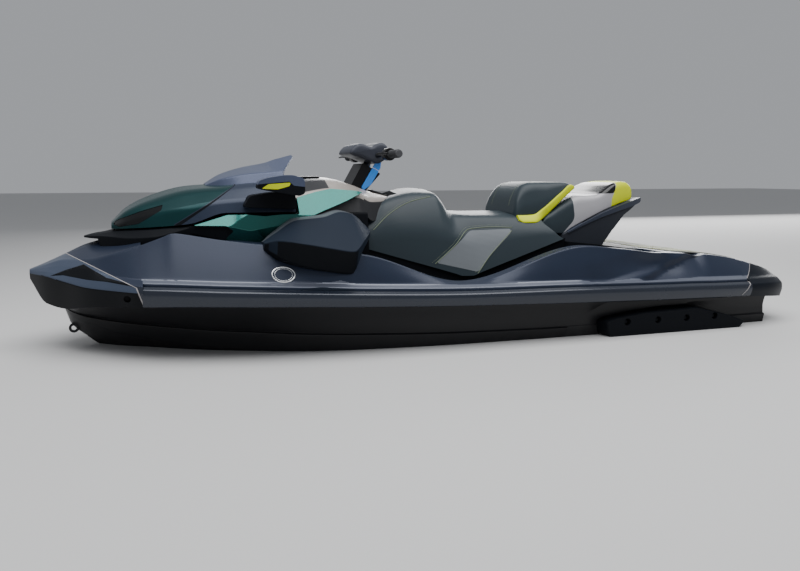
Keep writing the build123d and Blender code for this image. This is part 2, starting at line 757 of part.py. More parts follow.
lid_slope = math.atan2(LID_OUTLINE[0][1] - LID_OUTLINE[1][1], LID_OUTLINE[0][0] - LID_OUTLINE[1][0])
lid_seat = LID_THICK + 2 * SEAT_GAP
space_front = LID_OUTLINE[0][0] + LID_SPACE_FRONT
space_rear = LID_OUTLINE[1][0] - LID_SPACE_REAR
with BuildPart() as lid_space:
    with BuildSketch(Plane.XZ.offset(-(LID_HALF_WIDTH + MOVE_GAP))):
        with BuildLine():
            Polyline(
                (space_front, LID_OUTLINE[0][1] - lid_seat + LID_SPACE_FRONT * math.tan(lid_slope)),
                (space_rear, LID_OUTLINE[1][1] - lid_seat - LID_SPACE_REAR * math.tan(lid_slope)),
                (space_rear, LID_OUTLINE[0][1] + CUT),
                (space_front, LID_OUTLINE[0][1] + CUT),
                close=True,
            )
        make_face()
    extrude(amount=2 * (LID_HALF_WIDTH + MOVE_GAP))

with BuildPart() as glovebox_lid:
    with BuildSketch(Plane.XZ.offset(-LID_HALF_WIDTH)):
        with BuildLine():
            Polyline(
                LID_OUTLINE[0],
                LID_OUTLINE[1],
                (LID_OUTLINE[1][0], LID_OUTLINE[1][1] - LID_THICK),
                (LID_OUTLINE[0][0], LID_OUTLINE[0][1] - LID_THICK),
                close=True,
            )
        make_face()
    extrude(amount=2 * LID_HALF_WIDTH)
    with Locations(Location(LID_PIVOT, (90, 0, 0))):
        Cylinder(LID_BARREL, 2 * LID_HALF_WIDTH)
glovebox_lid.part.label = "glovebox_lid"
export_step(glovebox_lid.part, "parts/glovebox_lid.step")

# Steering: the column leans aft
STEER_POINT = (along(300.0), 0.0, 742.0)
STEER_AXIS = (-0.5, 0.0, 0.8660254)
COLUMN_RADIUS = 16.0
COLUMN_FOOT = -64.0  # along the axis, from the steering point
COLUMN_LENGTH = 94.0
NECK = drawn(((402.0, 640.0), (336.0, 618.0), (252.0, 709.0), (335.0, 757.0)))
STRIP = drawn(((336.0, 644.0), (318.0, 640.0), (254.0, 717.0), (276.0, 724.0)))
NECK_HALF_WIDTH = across(78.0)
STRIP_HALF_WIDTH = across(84.0)
steer_plane = Plane(origin=STEER_POINT, x_dir=(0.8660254, 0, 0.5), z_dir=STEER_AXIS)

with BuildPart() as neck_body:
    with BuildSketch(Plane.XZ.offset(-NECK_HALF_WIDTH)):
        with BuildLine():
            Polyline(*NECK, close=True)
        make_face()
    extrude(amount=2 * NECK_HALF_WIDTH)

with BuildPart() as console:
    add(console_body.part)
    add(tub_block.part)
    add(deck.part, mode=Mode.SUBTRACT)
    add(lid_space.part, mode=Mode.SUBTRACT)
    with Locations(((TUB_FRONT + TUB_REAR) / 2, 0, TUB_BOTTOM)):
        Box(
            TUB_FRONT - TUB_REAR,
            2 * TUB_HALF_WIDTH,
            CUT,
            align=(Align.CENTER, Align.CENTER, Align.MIN),
            mode=Mode.SUBTRACT,
        )
    with Locations(((GAUGE_FRONT + GAUGE_REAR) / 2, 0, GAUGE_TOP - GAUGE_THICK)):
        Box(
            GAUGE_FRONT - GAUGE_REAR,
            2 * GAUGE_HALF_WIDTH,
            CUT,
            align=(Align.CENTER, Align.CENTER, Align.MIN),
            mode=Mode.SUBTRACT,
        )
    add(neck_body.part, mode=Mode.SUBTRACT)
console.part.label = "console"
export_step(console.part, "parts/console.step")

with BuildPart() as gauge:
    with Locations(((GAUGE_FRONT + GAUGE_REAR) / 2, 0, GAUGE_TOP - GAUGE_THICK)):
        Box(
            GAUGE_FRONT - GAUGE_REAR,
            2 * GAUGE_HALF_WIDTH,
            GAUGE_THICK,
            align=(Align.CENTER, Align.CENTER, Align.MIN),
        )
gauge.part.label = "gauge"
export_step(gauge.part, "parts/gauge.step")

with BuildPart() as column_hole:
    with BuildSketch(steer_plane.offset(COLUMN_FOOT - 6)):
        Circle(COLUMN_RADIUS + SEAT_GAP)
    extrude(amount=COLUMN_LENGTH + 6)

with BuildPart() as steering_neck:
    add(neck_body.part)
    add(column_hole.part, mode=Mode.SUBTRACT)
steering_neck.part.label = "steering_neck"
export_step(steering_neck.part, "parts/steering_neck.step")

with BuildPart() as neck_strip:
    with BuildSketch(Plane.XZ.offset(-STRIP_HALF_WIDTH)):
        with BuildLine():
            Polyline(*STRIP, close=True)
        make_face()
    extrude(amount=2 * STRIP_HALF_WIDTH)
    add(neck_body.part, mode=Mode.SUBTRACT)
    add(console_body.part, mode=Mode.SUBTRACT)
neck_strip.part.label = "neck_strip"
export_step(neck_strip.part, "parts/neck_strip.step")

# Handlebar group, above the neck
PAD = drawn((
    (262.0, 727.0),
    (238.0, 766.0),
    (228.0, 812.0),
    (246.0, 847.0),
    (280.0, 836.0),
    (314.0, 847.0),
    (346.0, 812.0),
    (352.0, 779.0),
))
PAD_HALF_WIDTH = across(118.0)
BAR_X = along(276.0)
BAR_Z = 790.0
BAR_RADIUS = 11.0
BAR_HALF = across(400.0)
GRIP_RADIUS = 17.0
GRIP_LENGTH = 118.0
GRIP_OVERHANG = 6.0
PAD_TAPER = 8.0
HOUSING_RADIUS = 27.0
HOUSING_LENGTH = 46.0
# lever in plan: ahead of the bar, outward from the housing's inner end
LEVER = ((20.0, 6.0), (58.0, 30.0), (50.0, 148.0), (40.0, 148.0), (44.0, 40.0), (20.0, 30.0))
LEVER_THICK = 8.0

with BuildPart() as column:
    with BuildSketch(steer_plane.offset(COLUMN_FOOT)):
        Circle(COLUMN_RADIUS)
    extrude(amount=COLUMN_LENGTH)
column.part.label = "steering_column"
export_step(column.part, "parts/steering_column.step")

with BuildPart() as handlebar:
    with Locations(Location((BAR_X, 0, BAR_Z), (90, 0, 0))):
        Cylinder(BAR_RADIUS, 2 * BAR_HALF)
handlebar.part.label = "handlebar"
export_step(handlebar.part, "parts/handlebar.step")

with BuildPart() as handlebar_pad:
    with BuildSketch(Plane.XZ):
        with BuildLine():
            Polyline(*PAD, close=True)
        make_face()
    extrude(amount=PAD_HALF_WIDTH, both=True, taper=PAD_TAPER)
    add(handlebar.part, mode=Mode.SUBTRACT)
    add(column.part, mode=Mode.SUBTRACT)
handlebar_pad.part.label = "handlebar_pad"
export_step(handlebar_pad.part, "parts/handlebar_pad.step")

with BuildPart() as grips:
    for side in (1, -1):
        with Locations(Location((BAR_X, side * (BAR_HALF - GRIP_LENGTH / 2 + GRIP_OVERHANG), BAR_Z), (90, 0, 0))):
            Cylinder(GRIP_RADIUS, GRIP_LENGTH)
    add(handlebar.part, mode=Mode.SUBTRACT)
grips.part.label = "grips"
export_step(grips.part, "parts/grips.step")

with BuildPart() as controls:
    for side in (1, -1):
        inner_y = BAR_HALF + GRIP_OVERHANG - GRIP_LENGTH - HOUSING_LENGTH
        with Locations(Location((BAR_X, side * (inner_y + HOUSING_LENGTH / 2), BAR_Z), (90, 0, 0))):
            Cylinder(HOUSING_RADIUS, HOUSING_LENGTH)
        with BuildSketch(Plane.XY.offset(BAR_Z - LEVER_THICK / 2)):
            with BuildLine():
                Polyline(*[(BAR_X + ahead, side * (inner_y + out)) for ahead, out in LEVER], close=True)
            make_face()
        extrude(amount=LEVER_THICK)
    add(handlebar.part, mode=Mode.SUBTRACT)
controls.part.label = "controls"
export_step(controls.part, "parts/controls.step")

# Seat: x, bottom y and z, flank y and z, edge y and z, centre z
SEAT = drawn((
    (372.0, 262.0, 388.0, 258.0, 440.0, 215.0, 498.0, 504.0),
    (278.0, 262.0, 360.0, 252.0, 450.0, 188.0, 585.0, 600.0),
    (204.0, 262.0, 338.0, 248.0, 460.0, 165.0, 608.0, 626.0),
    (100.0, 264.0, 307.0, 242.0, 460.0, 150.0, 622.0, 643.0),
    (8.0, 266.0, 279.0, 238.0, 445.0, 140.0, 624.0, 640.0),
    (-50.0, 267.0, 262.0, 236.0, 430.0, 138.0, 600.0, 616.0),
    (-100.0, 268.0, 247.0, 234.0, 420.0, 150.0, 536.0, 546.0),
    (-160.0, 268.0, 266.0, 234.0, 405.0, 165.0, 520.0, 532.0),
    (-363.0, 268.0, 332.0, 238.0, 432.0, 168.0, 516.0, 531.0),
    (-502.0, 266.0, 378.0, 245.0, 442.0, 176.0, 504.0, 520.0),
    (-600.0, 262.0, 410.0, 250.0, 440.0, 180.0, 490.0, 505.0),
), ys=(1, 3, 5))
SEAT_REAR = drawn((
    (-500.0, 512.0),
    (-512.0, 474.0),
    (-566.0, 422.0),
    (-604.0, 396.0),
    (-800.0, 396.0),
    (-800.0, 700.0),
    (-500.0, 700.0),
))
BOLSTER = drawn((
    (-376.0, 523.0),
    (-380.0, 560.0),
    (-392.0, 620.0),
    (-417.0, 656.0),
    (-464.0, 665.0),
    (-618.0, 671.0),
    (-770.0, 664.0),
    (-711.0, 634.0),
    (-611.0, 577.0),
    (-544.0, 527.0),
    (-497.0, 499.0),
    (-454.0, 492.0),
    (-401.0, 505.0),
))
BOLSTER_HALF_WIDTH = across(180.0)
TRIM_LINE = drawn((
    (-387.0, 502.0),
    (-425.0, 479.0),
    (-497.0, 492.0),
    (-533.0, 514.0),
    (-611.0, 570.0),
    (-700.0, 627.0),
    (-690.0, 650.0),
    (-584.0, 588.0),
    (-521.0, 537.0),
    (-470.0, 514.0),
    (-393.0, 518.0),
))
TRIM_DEPTH = 14.0
BOLSTER_TAPER = 5.0

with BuildPart() as bolster_body:
    with BuildSketch(Plane.XZ):
        with BuildLine():
            Polyline(*BOLSTER, close=True)
        make_face()
    extrude(amount=BOLSTER_HALF_WIDTH, both=True, taper=BOLSTER_TAPER)

with BuildPart() as bolster_trim:
    for side in (1, -1):
        with BuildSketch(Plane.XZ.offset(-side * (BOLSTER_HALF_WIDTH - TRIM_DEPTH))):
            with BuildLine():
                Polyline(*TRIM_LINE, close=True)
            make_face()
        extrude(amount=-side * TRIM_DEPTH)
bolster_trim.part.label = "bolster_trim"
export_step(bolster_trim.part, "parts/bolster_trim.step")

with BuildPart() as bolster:
    add(bolster_body.part)
    add(bolster_trim.part, mode=Mode.SUBTRACT)
bolster.part.label = "bolster"
export_step(bolster.part, "parts/bolster.step")

with BuildPart() as front_seat:
    for x, low_y, low_z, flank_y, flank_z, edge_y, edge_z, centre_z in SEAT:
        with BuildSketch(Plane.YZ.offset(x)):
            with BuildLine():
                Polyline(*both_sides([(low_y, low_z), (flank_y, flank_z), (edge_y, edge_z), (0, centre_z)]), close=True)
            make_face()
    loft(ruled=True)
    with BuildSketch(Plane.XZ):
        with BuildLine():
            Polyline(*SEAT_REAR, close=True)
        make_face()
    extrude(amount=CUT, both=True, mode=Mode.SUBTRACT)
    add(console_body.part, mode=Mode.SUBTRACT)
    add(tub_block.part, mode=Mode.SUBTRACT)
    add(lid_space.part, mode=Mode.SUBTRACT)
    add(bolster_body.part, mode=Mode.SUBTRACT)
    add(bolster_trim.part, mode=Mode.SUBTRACT)
    add(deck.part, mode=Mode.SUBTRACT)
front_seat.part.label = "front_seat"
export_step(front_seat.part, "parts/front_seat.step")

SEAT_BASE_HALF_WIDTH = across(256.0)
seat_foot = [(row[0], row[2]) for row in SEAT]
with BuildPart() as seat_base:
    with BuildSketch(Plane.XZ.offset(-SEAT_BASE_HALF_WIDTH)):
        with BuildLine():
            Polyline(*seat_foot, *reversed(SPINE), close=True)
        make_face()
    extrude(amount=2 * SEAT_BASE_HALF_WIDTH)
seat_base.part.label = "seat_base"
export_step(seat_base.part, "parts/seat_base.step")

# Rear seat, tail hump, tail pad: side outlines, all on the tail base
REAR_LINE = ((-616.0, 424.0), (-720.0, 474.0), (-821.0, 519.0), (-922.0, 553.0), (-1047.0, 584.0), (-1096.0, 594.0))
REAR_SEAT = (
    (-516.0, 478.0),
    (-569.0, 427.0),
    REAR_LINE[0],
    REAR_LINE[1],
    REAR_LINE[2],
    (-846.0, 596.0),
    (-770.0, 592.0),
    (-716.0, 618.0),
    (-615.0, 564.0),
    (-548.0, 516.0),
)
TAIL_HUMP = (
    REAR_LINE[2],
    REAR_LINE[3],
    (-908.0, 563.0),
    (-948.0, 630.0),
    (-956.0, 664.0),
    (-930.0, 650.0),
    (-897.0, 626.0),
    (-846.0, 596.0),
)
TAIL_PAD = (
    REAR_LINE[3],
    REAR_LINE[4],
    REAR_LINE[5],
    (-1118.0, 640.0),
    (-1094.0, 667.0),
    (-1011.0, 672.0),
    (-956.0, 664.0),
    (-948.0, 630.0),
    (-908.0, 563.0),
)
TAIL_BASE = (
    (-608.0, 340.0),
    (-608.0, 392.0),
    *REAR_LINE,
    (-1124.0, 598.0),
    (-1122.0, 584.0),
    (-1063.0, 560.0),
    (-973.0, 515.0),
    (-893.0, 433.0),
    (-836.0, 366.0),
    (-836.0, 340.0),
)
# plan of the rear pieces: x, half width
REAR_PLAN = ((-500.0, 205.0), (-820.0, 204.0), (-910.0, 192.0), (-1020.0, 160.0), (-1100.0, 122.0), (-1124.0, 90.0))
REAR_TAPER = 6.0
REAR_TAPER_FROM = 380.0
REAR_BOTTOM = 300.0
REAR_TOP = 700.0
REAR_GAP = 0.4
TAIL_BASE_MARGIN = 8.0


def rear_plan(margin):
    plan = drawn(REAR_PLAN, ys=(1,))
    return [(x, y + margin) for x, y in plan] + [(x, -y - margin) for x, y in reversed(plan)]


REAR_PIECES = (("rear_seat", REAR_SEAT), ("tail_hump", TAIL_HUMP), ("tail_pad", TAIL_PAD))
for name, outline in REAR_PIECES:
    with BuildPart() as rear_piece:
        with BuildSketch(Plane.XZ):
            with BuildLine():
                Polyline(*[(x, z + REAR_GAP) for x, z in drawn(outline)], close=True)
            make_face()
        extrude(amount=CUT, both=True)
        with BuildSketch(Plane.XY.offset(REAR_TAPER_FROM)):
            with BuildLine():
                Polyline(*rear_plan(0), close=True)
            make_face()
        extrude(amount=REAR_TOP - REAR_TAPER_FROM, taper=REAR_TAPER, mode=Mode.INTERSECT)
    rear_piece.part.label = name
    export_step(rear_piece.part, f"parts/{name}.step")

with BuildPart() as tail_base:
    with BuildSketch(Plane.XZ):
        with BuildLine():
            Polyline(*drawn(TAIL_BASE), close=True)
        make_face()
    extrude(amount=CUT, both=True)
    with BuildSketch(Plane.XY.offset(REAR_BOTTOM)):
        with BuildLine():
            Polyline(*rear_plan(TAIL_BASE_MARGIN), close=True)
        make_face()
    extrude(amount=REAR_TOP - REAR_BOTTOM, mode=Mode.INTERSECT)
    add(deck.part, mode=Mode.SUBTRACT)
    add(seat_base.part, mode=Mode.SUBTRACT)
tail_base.part.label = "tail_base"
export_step(tail_base.part, "parts/tail_base.step")

# Side blades and air inlets: side outlines, inside a band that follows the hood's foot in plan
BLADE = drawn((
    (1094.0, 505.0),
    (965.0, 545.0),
    (890.0, 547.0),
    (820.0, 540.0),
    (754.0, 546.0),
    (682.0, 546.0),
    (682.0, 611.0),
    (600.0, 633.0),
    (529.0, 646.0),
    (422.0, 637.0),
    (392.0, 630.0),
    (474.0, 596.0),
    (609.0, 546.0),
    (695.0, 517.0),
    (757.0, 489.0),
    (818.0, 449.0),
    (823.0, 430.0),
    (924.0, 432.0),
    (980.0, 446.0),
    (944.0, 482.0),
    (973.0, 504.0),
))
INLET = drawn(((1092.0, 503.0), (973.0, 504.0), (944.0, 482.0), (980.0, 446.0), (1086.0, 470.0), (1160.0, 484.0)))
# x, band's inner and outer y
SIDE_BAND = drawn((
    (1180.0, 180.0, 262.0),
    (1094.0, 220.0, 300.0),
    (965.0, 270.0, 338.0),
    (820.0, 275.0, 352.0),
    (690.0, 270.0, 355.0),
    (529.0, 235.0, 322.0),
    (392.0, 215.0, 268.0),
    (380.0, 210.0, 262.0),
), ys=(1, 2))
INLET_SETBACK = 18.0
BAND_BOTTOM = 300.0


def side_band(setback):
    inner = [(x, low) for x, low, high in SIDE_BAND]
    outer = [(x, high - setback) for x, low, high in reversed(SIDE_BAND)]
    return inner + outer


with BuildPart() as side_blade:
    with BuildSketch(Plane.XZ):
        with BuildLine():
            Polyline(*BLADE, close=True)
        make_face()
    extrude(amount=-CUT)
    with BuildSketch(Plane.XY.offset(BAND_BOTTOM)):
        with BuildLine():
            Polyline(*side_band(0), close=True)
        make_face()
    extrude(amount=CUT, mode=Mode.INTERSECT)
    add(deck.part, mode=Mode.SUBTRACT)
    add(console_body.part, mode=Mode.SUBTRACT)
    add(splitter.part, mode=Mode.SUBTRACT)

with BuildPart() as inlet:
    with BuildSketch(Plane.XZ):
        with BuildLine():
            Polyline(*INLET, close=True)
        make_face()
    extrude(amount=-CUT)
    with BuildSketch(Plane.XY.offset(BAND_BOTTOM)):
        with BuildLine():
            Polyline(*side_band(INLET_SETBACK), close=True)
        make_face()
    extrude(amount=CUT, mode=Mode.INTERSECT)
    add(deck.part, mode=Mode.SUBTRACT)
    add(splitter.part, mode=Mode.SUBTRACT)

# Knee pods: x, then y and z of inner foot, inner top, top edge, outer crease, lower edge
KNEE_POD = drawn((
    (848.0, 380.0, 400.0, 392.0, 442.0, 430.0, 446.0, 484.0, 444.0, 470.0, 420.0),
    (800.0, 300.0, 300.0, 320.0, 470.0, 420.0, 478.0, 545.0, 458.0, 520.0, 390.0),
    (711.0, 280.0, 290.0, 285.0, 530.0, 420.0, 532.0, 590.0, 446.0, 545.0, 355.0),
    (600.0, 280.0, 290.0, 285.0, 542.0, 405.0, 542.0, 596.0, 425.0, 552.0, 330.0),
    (520.0, 280.0, 300.0, 285.0, 560.0, 360.0, 560.0, 588.0, 412.0, 545.0, 318.0),
    (458.0, 280.0, 410.0, 278.0, 548.0, 340.0, 548.0, 520.0, 450.0, 500.0, 408.0),
    (402.0, 268.0, 440.0, 268.0, 506.0, 320.0, 505.0, 410.0, 478.0, 400.0, 450.0),
), ys=(1, 3, 5, 7, 9))
with BuildPart() as knee_pod:
    for row in KNEE_POD:
        with BuildSketch(Plane.YZ.offset(row[0])):
            with BuildLine():
                Polyline(*[(row[i], row[i + 1]) for i in range(1, len(row), 2)], close=True)
            make_face()
    loft(ruled=True)
    add(deck.part, mode=Mode.SUBTRACT)
    add(console_body.part, mode=Mode.SUBTRACT)
    add(side_blade.part, mode=Mode.SUBTRACT)
    add(front_seat.part, mode=Mode.SUBTRACT)
    add(seat_base.part, mode=Mode.SUBTRACT)

# Mirrors, on the hood
STALK = drawn(((906.0, 576.0), (880.0, 622.0), (800.0, 634.0), (700.0, 640.0), (690.0, 566.0)))
MIRROR = drawn((
    (857.0, 652.0),
    (850.0, 680.0),
    (820.0, 692.0),
    (760.0, 702.0),
    (729.0, 702.0),
    (685.0, 688.0),
    (683.0, 632.0),
    (706.0, 622.0),
    (833.0, 645.0),
))
MIRROR_PLAN = drawn(((860.0, 345.0), (860.0, 388.0), (806.0, 448.0), (745.0, 472.0), (682.0, 472.0), (682.0, 345.0)), ys=(1,))
STALK_INNER_Y = across(262.0)
STALK_OUTER_Y = across(345.0)
MIRROR_OUTER_Y = across(472.0)
GLASS_CENTRE = (along(687.0), (STALK_OUTER_Y + MIRROR_OUTER_Y) / 2 - 2, 661.0)
GLASS_SIZE = (4.0, across(78.0), 42.0)
POCKET_DEPTH = 18.0

with BuildPart() as stalk:
    with BuildSketch(Plane.XZ.offset(-STALK_INNER_Y)):
        with BuildLine():
            Polyline(*STALK, close=True)
        make_face()
    extrude(amount=-(STALK_OUTER_Y - STALK_INNER_Y))
    add(hood_form.part, mode=Mode.SUBTRACT)

with BuildPart() as mirror_glass:
    with Locations(GLASS_CENTRE):
        Box(*GLASS_SIZE)

with BuildPart() as mirror_housing:
    with BuildSketch(Plane.XZ.offset(-STALK_OUTER_Y)):
        with BuildLine():
            Polyline(*MIRROR, close=True)
        make_face()
    extrude(amount=-(MIRROR_OUTER_Y - STALK_OUTER_Y))
    with BuildSketch(Plane.XY):
        with BuildLine():
            Polyline(*MIRROR_PLAN, close=True)
        make_face()
    extrude(amount=2 * CUT, mode=Mode.INTERSECT)
    pocket_front = GLASS_CENTRE[0] + GLASS_SIZE[0] / 2
    with Locations((pocket_front - POCKET_DEPTH / 2, GLASS_CENTRE[1], GLASS_CENTRE[2])):
        Box(POCKET_DEPTH, GLASS_SIZE[1], GLASS_SIZE[2], mode=Mode.SUBTRACT)

# Sponsons
SPONSON = drawn((
    (-604.0, 66.0),
    (-612.0, 10.0),
    (-690.0, -46.0),
    (-1300.0, -50.0),
    (-1380.0, 28.0),
    (-1308.0, 54.0),
    (-1106.0, 108.0),
    (-942.0, 112.0),
    (-783.0, 99.0),
    (-639.0, 80.0),
))
SPONSON_OUTER_Y = across(602.0)
SLOT_X = tuple(along(x) for x in (-720.0, -880.0, -1035.0, -1190.0))
SLOT_WIDTH = 34.0
SLOT_HEIGHT = 24.0
SLOT_Z = 62.0
SLOT_DEPTH = 30.0
SPONSON_TAPER = 8.0

with BuildPart() as sponson:
    with BuildSketch(Plane.XZ.offset(-RECESS_DEPTH_Y)):
        with BuildLine():
            Polyline(*SPONSON, close=True)
        make_face()
    extrude(amount=-(SPONSON_OUTER_Y - RECESS_DEPTH_Y), taper=SPONSON_TAPER)
    with Locations(*[(x, SPONSON_OUTER_Y, SLOT_Z) for x in SLOT_X]):
        Box(SLOT_WIDTH, 2 * SLOT_DEPTH, SLOT_HEIGHT, mode=Mode.SUBTRACT)

# Plain oval rings on the flanks of the deck
RING_X = along(785.0)
RING_Z = 330.0
RING_INSET = 1.731884  # its centre behind the flank's surface
RING_Y = flank_half(RING_X, RING_Z) - RING_INSET
RING_RADII = (42.0, 30.0)
RING_BAND = 9.0
RING_SUNK = 14.0  # below the flank's surface and above it
RING_PROUD = 8.0
RING_NORMAL = (0.05, 0.874, 0.482)
ring_plane = Plane(origin=(RING_X, RING_Y, RING_Z), x_dir=(1, 0, 0), z_dir=RING_NORMAL)
with BuildPart() as oval_ring:
    with BuildSketch(ring_plane.offset(-RING_SUNK)):
        Ellipse(*RING_RADII)
        Ellipse(RING_RADII[0] - RING_BAND, RING_RADII[1] - RING_BAND, mode=Mode.SUBTRACT)
    extrude(amount=RING_SUNK + RING_PROUD)
    add(deck.part, mode=Mode.SUBTRACT)

# Footwell mat
MAT_THICK = 5.0
MAT_PLAN = drawn(
    ((190.0, 296.0), (190.0, 474.0), (-830.0, 456.0), (-830.0, 306.0), (-700.0, 296.0)), ys=(1,)
)
with BuildPart() as footwell_mat:
    with BuildSketch(Plane.XY.offset(FLOOR_Z)):
        with BuildLine():
            Polyline(*MAT_PLAN, close=True)
        make_face()
    extrude(amount=MAT_THICK)

# Pieces that come in pairs
PAIRS = (
    ("side_blade", side_blade, "each"),
    ("knee_pod", knee_pod, "each"),
    ("mirror_housing", mirror_housing, "each"),
    ("sponson", sponson, "each"),
    ("air_inlets", inlet, "together"),
    ("mirror_stalks", stalk, "together"),
    ("mirror_glasses", mirror_glass, "together"),
    ("oval_rings", oval_ring, "together"),
    ("footwell_mats", footwell_mat, "together"),
)
for name, piece, how in PAIRS:
    other = mirror(piece.part, about=Plane.XZ, mode=Mode.PRIVATE)
    if how == "together":
        with BuildPart() as pair:
            add(piece.part)
            add(other)
        pair.part.label = name
        export_step(pair.part, f"parts/{name}.step")
    else:
        for label, solid in ((f"{name}_port", piece.part), (f"{name}_starboard", other)):
            with BuildPart() as one:
                add(solid)
            one.part.label = label
            export_step(one.part, f"parts/{label}.step")

# Rear mat, on the platform
REAR_MAT = drawn((
    (-1030.0, 250.0),
    (-1090.0, 420.0),
    (-1200.0, 425.0),
    (-1410.0, 390.0),
    (-1533.0, 364.0),
    (-1600.0, 340.0),
), ys=(1,))
with BuildPart() as rear_mat:
    for x, half_width in REAR_MAT:
        table = SHEER if x >= SHEER[-1][0] else STERN_SHEER
        top = line_at(table, x, 5)
        with BuildSketch(Plane.YZ.offset(x)):
            with BuildLine():
                Polyline(
                    (half_width, top),
                    (half_width, top + MAT_THICK),
                    (-half_width, top + MAT_THICK),
                    (-half_width, top),
                    close=True,
                )
            make_face()
    loft(ruled=True)
rear_mat.part.label = "rear_mat"
export_step(rear_mat.part, "parts/rear_mat.step")

# Bow eye and stern eyes
EYE_THICK = 14.0
BOW_EYE_BORE = 10.0
BOW_EYE_RADIUS = 20.0
BOW_EYE = (along(1572.0), 0.0, 72.0)
BOW_EYE_STRAP = (100.0, 34.0, 6.0)  # length, height, rise
STERN_EYE_BORE = 9.0
STERN_EYE_RADIUS = 20.0
STERN_EYE_STRAP_HEIGHT = 30.0
STERN_EYE = (TRANSOM - 32, across(420.0), 40.0)

with BuildPart() as bow_eye:
    with Locations(Location(BOW_EYE, (90, 0, 0))):
        Cylinder(BOW_EYE_RADIUS, EYE_THICK)
    with Locations((BOW_EYE[0] - BOW_EYE_STRAP[0] / 2, 0, BOW_EYE[2] + BOW_EYE_STRAP[2])):
        Box(BOW_EYE_STRAP[0], EYE_THICK, BOW_EYE_STRAP[1])
    with Locations(Location(BOW_EYE, (90, 0, 0))):
        Cylinder(BOW_EYE_BORE, EYE_THICK, mode=Mode.SUBTRACT)
    add(hull.part, mode=Mode.SUBTRACT)
    add(bow_bumper.part, mode=Mode.SUBTRACT)
bow_eye.part.label = "bow_eye"
export_step(bow_eye.part, "parts/bow_eye.step")

with BuildPart() as stern_eyes:
    for side in (1, -1):
        place = (STERN_EYE[0], side * STERN_EYE[1], STERN_EYE[2])
        with Locations(Location(place, (90, 0, 0))):
            Cylinder(STERN_EYE_RADIUS, EYE_THICK)
        with Locations(((place[0] + TRANSOM) / 2, place[1], place[2])):
            Box(TRANSOM - place[0], EYE_THICK, STERN_EYE_STRAP_HEIGHT)
        with Locations(Location(place, (90, 0, 0))):
            Cylinder(STERN_EYE_BORE, EYE_THICK, mode=Mode.SUBTRACT)
stern_eyes.part.label = "stern_eyes"
export_step(stern_eyes.part, "parts/stern_eyes.step")

# Jet drive
jet_plane = Plane(origin=(0, 0, JET_Z), x_dir=(1, 0, 0), z_dir=(0, -1, 0))
with BuildPart() as pump_housing:
    with BuildSketch(jet_plane):
        with BuildLine():
            Polyline(
                (TUNNEL_FRONT, PUMP_BORE),
                (TUNNEL_FRONT, PUMP_RADIUS),
                (PUMP_REAR, PUMP_RADIUS),
                (VENTURI_REAR, VENTURI_RADIUS),
                (VENTURI_REAR, VENTURI_BORE),
                (PUMP_REAR, PUMP_BORE),
                close=True,
            )
        make_face()
    revolve(axis=Axis((0, 0, JET_Z), (1, 0, 0)))
    # stator cone with vanes
    with BuildSketch(jet_plane):
        with BuildLine():
            Polyline(
                (STATOR_FRONT, 0), (STATOR_FRONT, HUB_RADIUS), (STATOR_REAR, STATOR_TIP), (STATOR_REAR, 0), close=True
            )
        make_face()
    revolve(axis=Axis((0, 0, JET_Z), (1, 0, 0)))
    for vane in range(STATOR_VANES):
        with Locations(Location((STATOR_FRONT - 60, 0, JET_Z), (vane * 360 / STATOR_VANES, 0, 0))):
            Box(*STATOR_VANE, PUMP_BORE + 2, align=(Align.CENTER, Align.CENTER, Align.MIN))
    # ears that carry trim ring and bucket
    for side in (1, -1):
        with Locations(((EAR_FRONT + EAR_REAR) / 2, side * (EAR_INNER + EAR_THICK / 2), JET_Z)):
            Box(EAR_FRONT - EAR_REAR, EAR_THICK, EAR_HEIGHT)
    with Locations(Location((GIMBAL_X, 0, JET_Z), (90, 0, 0))):
        Cylinder(PIVOT_RADIUS + SEAT_GAP, CUT, mode=Mode.SUBTRACT)
pump_housing.part.label = "pump_housing"
export_step(pump_housing.part, "parts/pump_housing.step")

with BuildPart() as impeller:
    with Locations(Location((IMPELLER_FRONT, 0, JET_Z), (0, 90, 0))):
        Cylinder(HUB_RADIUS, IMPELLER_LENGTH, align=(Align.CENTER, Align.CENTER, Align.MAX))
    shaft_front = ENGINE_CENTRE_X - ENGINE_LENGTH / 2 - SEAT_GAP
    with Locations(Location((shaft_front, 0, JET_Z), (0, 90, 0))):
        Cylinder(SHAFT_RADIUS, shaft_front - IMPELLER_FRONT, align=(Align.CENTER, Align.CENTER, Align.MAX))
    for blade in range(IMPELLER_BLADES):
        turn = blade * 360 / IMPELLER_BLADES
        spoke = Plane(
            origin=(IMPELLER_FRONT - IMPELLER_LENGTH / 2, 0, JET_Z),
            x_dir=(1, 0, 0),
            z_dir=(0, math.sin(math.radians(turn)), math.cos(math.radians(turn))),
        )
        with BuildSketch(spoke.offset(HUB_RADIUS - 6)):
            Rectangle(BLADE_ROOT[0], BLADE_ROOT[1], rotation=BLADE_ROOT[2])
        with BuildSketch(spoke.offset(IMPELLER_RADIUS)):
            Rectangle(BLADE_TIP[0], BLADE_TIP[1], rotation=BLADE_TIP[2])
        loft()
    with Locations(Location((0, 0, JET_Z), (0, 90, 0))):
        Cylinder(IMPELLER_RADIUS, LENGTH, mode=Mode.INTERSECT)
impeller.part.label = "impeller"
export_step(impeller.part, "parts/impeller.step")

with BuildPart() as ride_plate:
    with Locations(((TUNNEL_FRONT + TRANSOM) / 2, 0, RIDE_PLATE_TOP)):
        Box(
            TUNNEL_FRONT - TRANSOM,
            2 * TUNNEL_RADIUS,
            RIDE_PLATE_THICK,
            align=(Align.CENTER, Align.CENTER, Align.MAX),
        )
ride_plate.part.label = "ride_plate"
export_step(ride_plate.part, "parts/ride_plate.step")

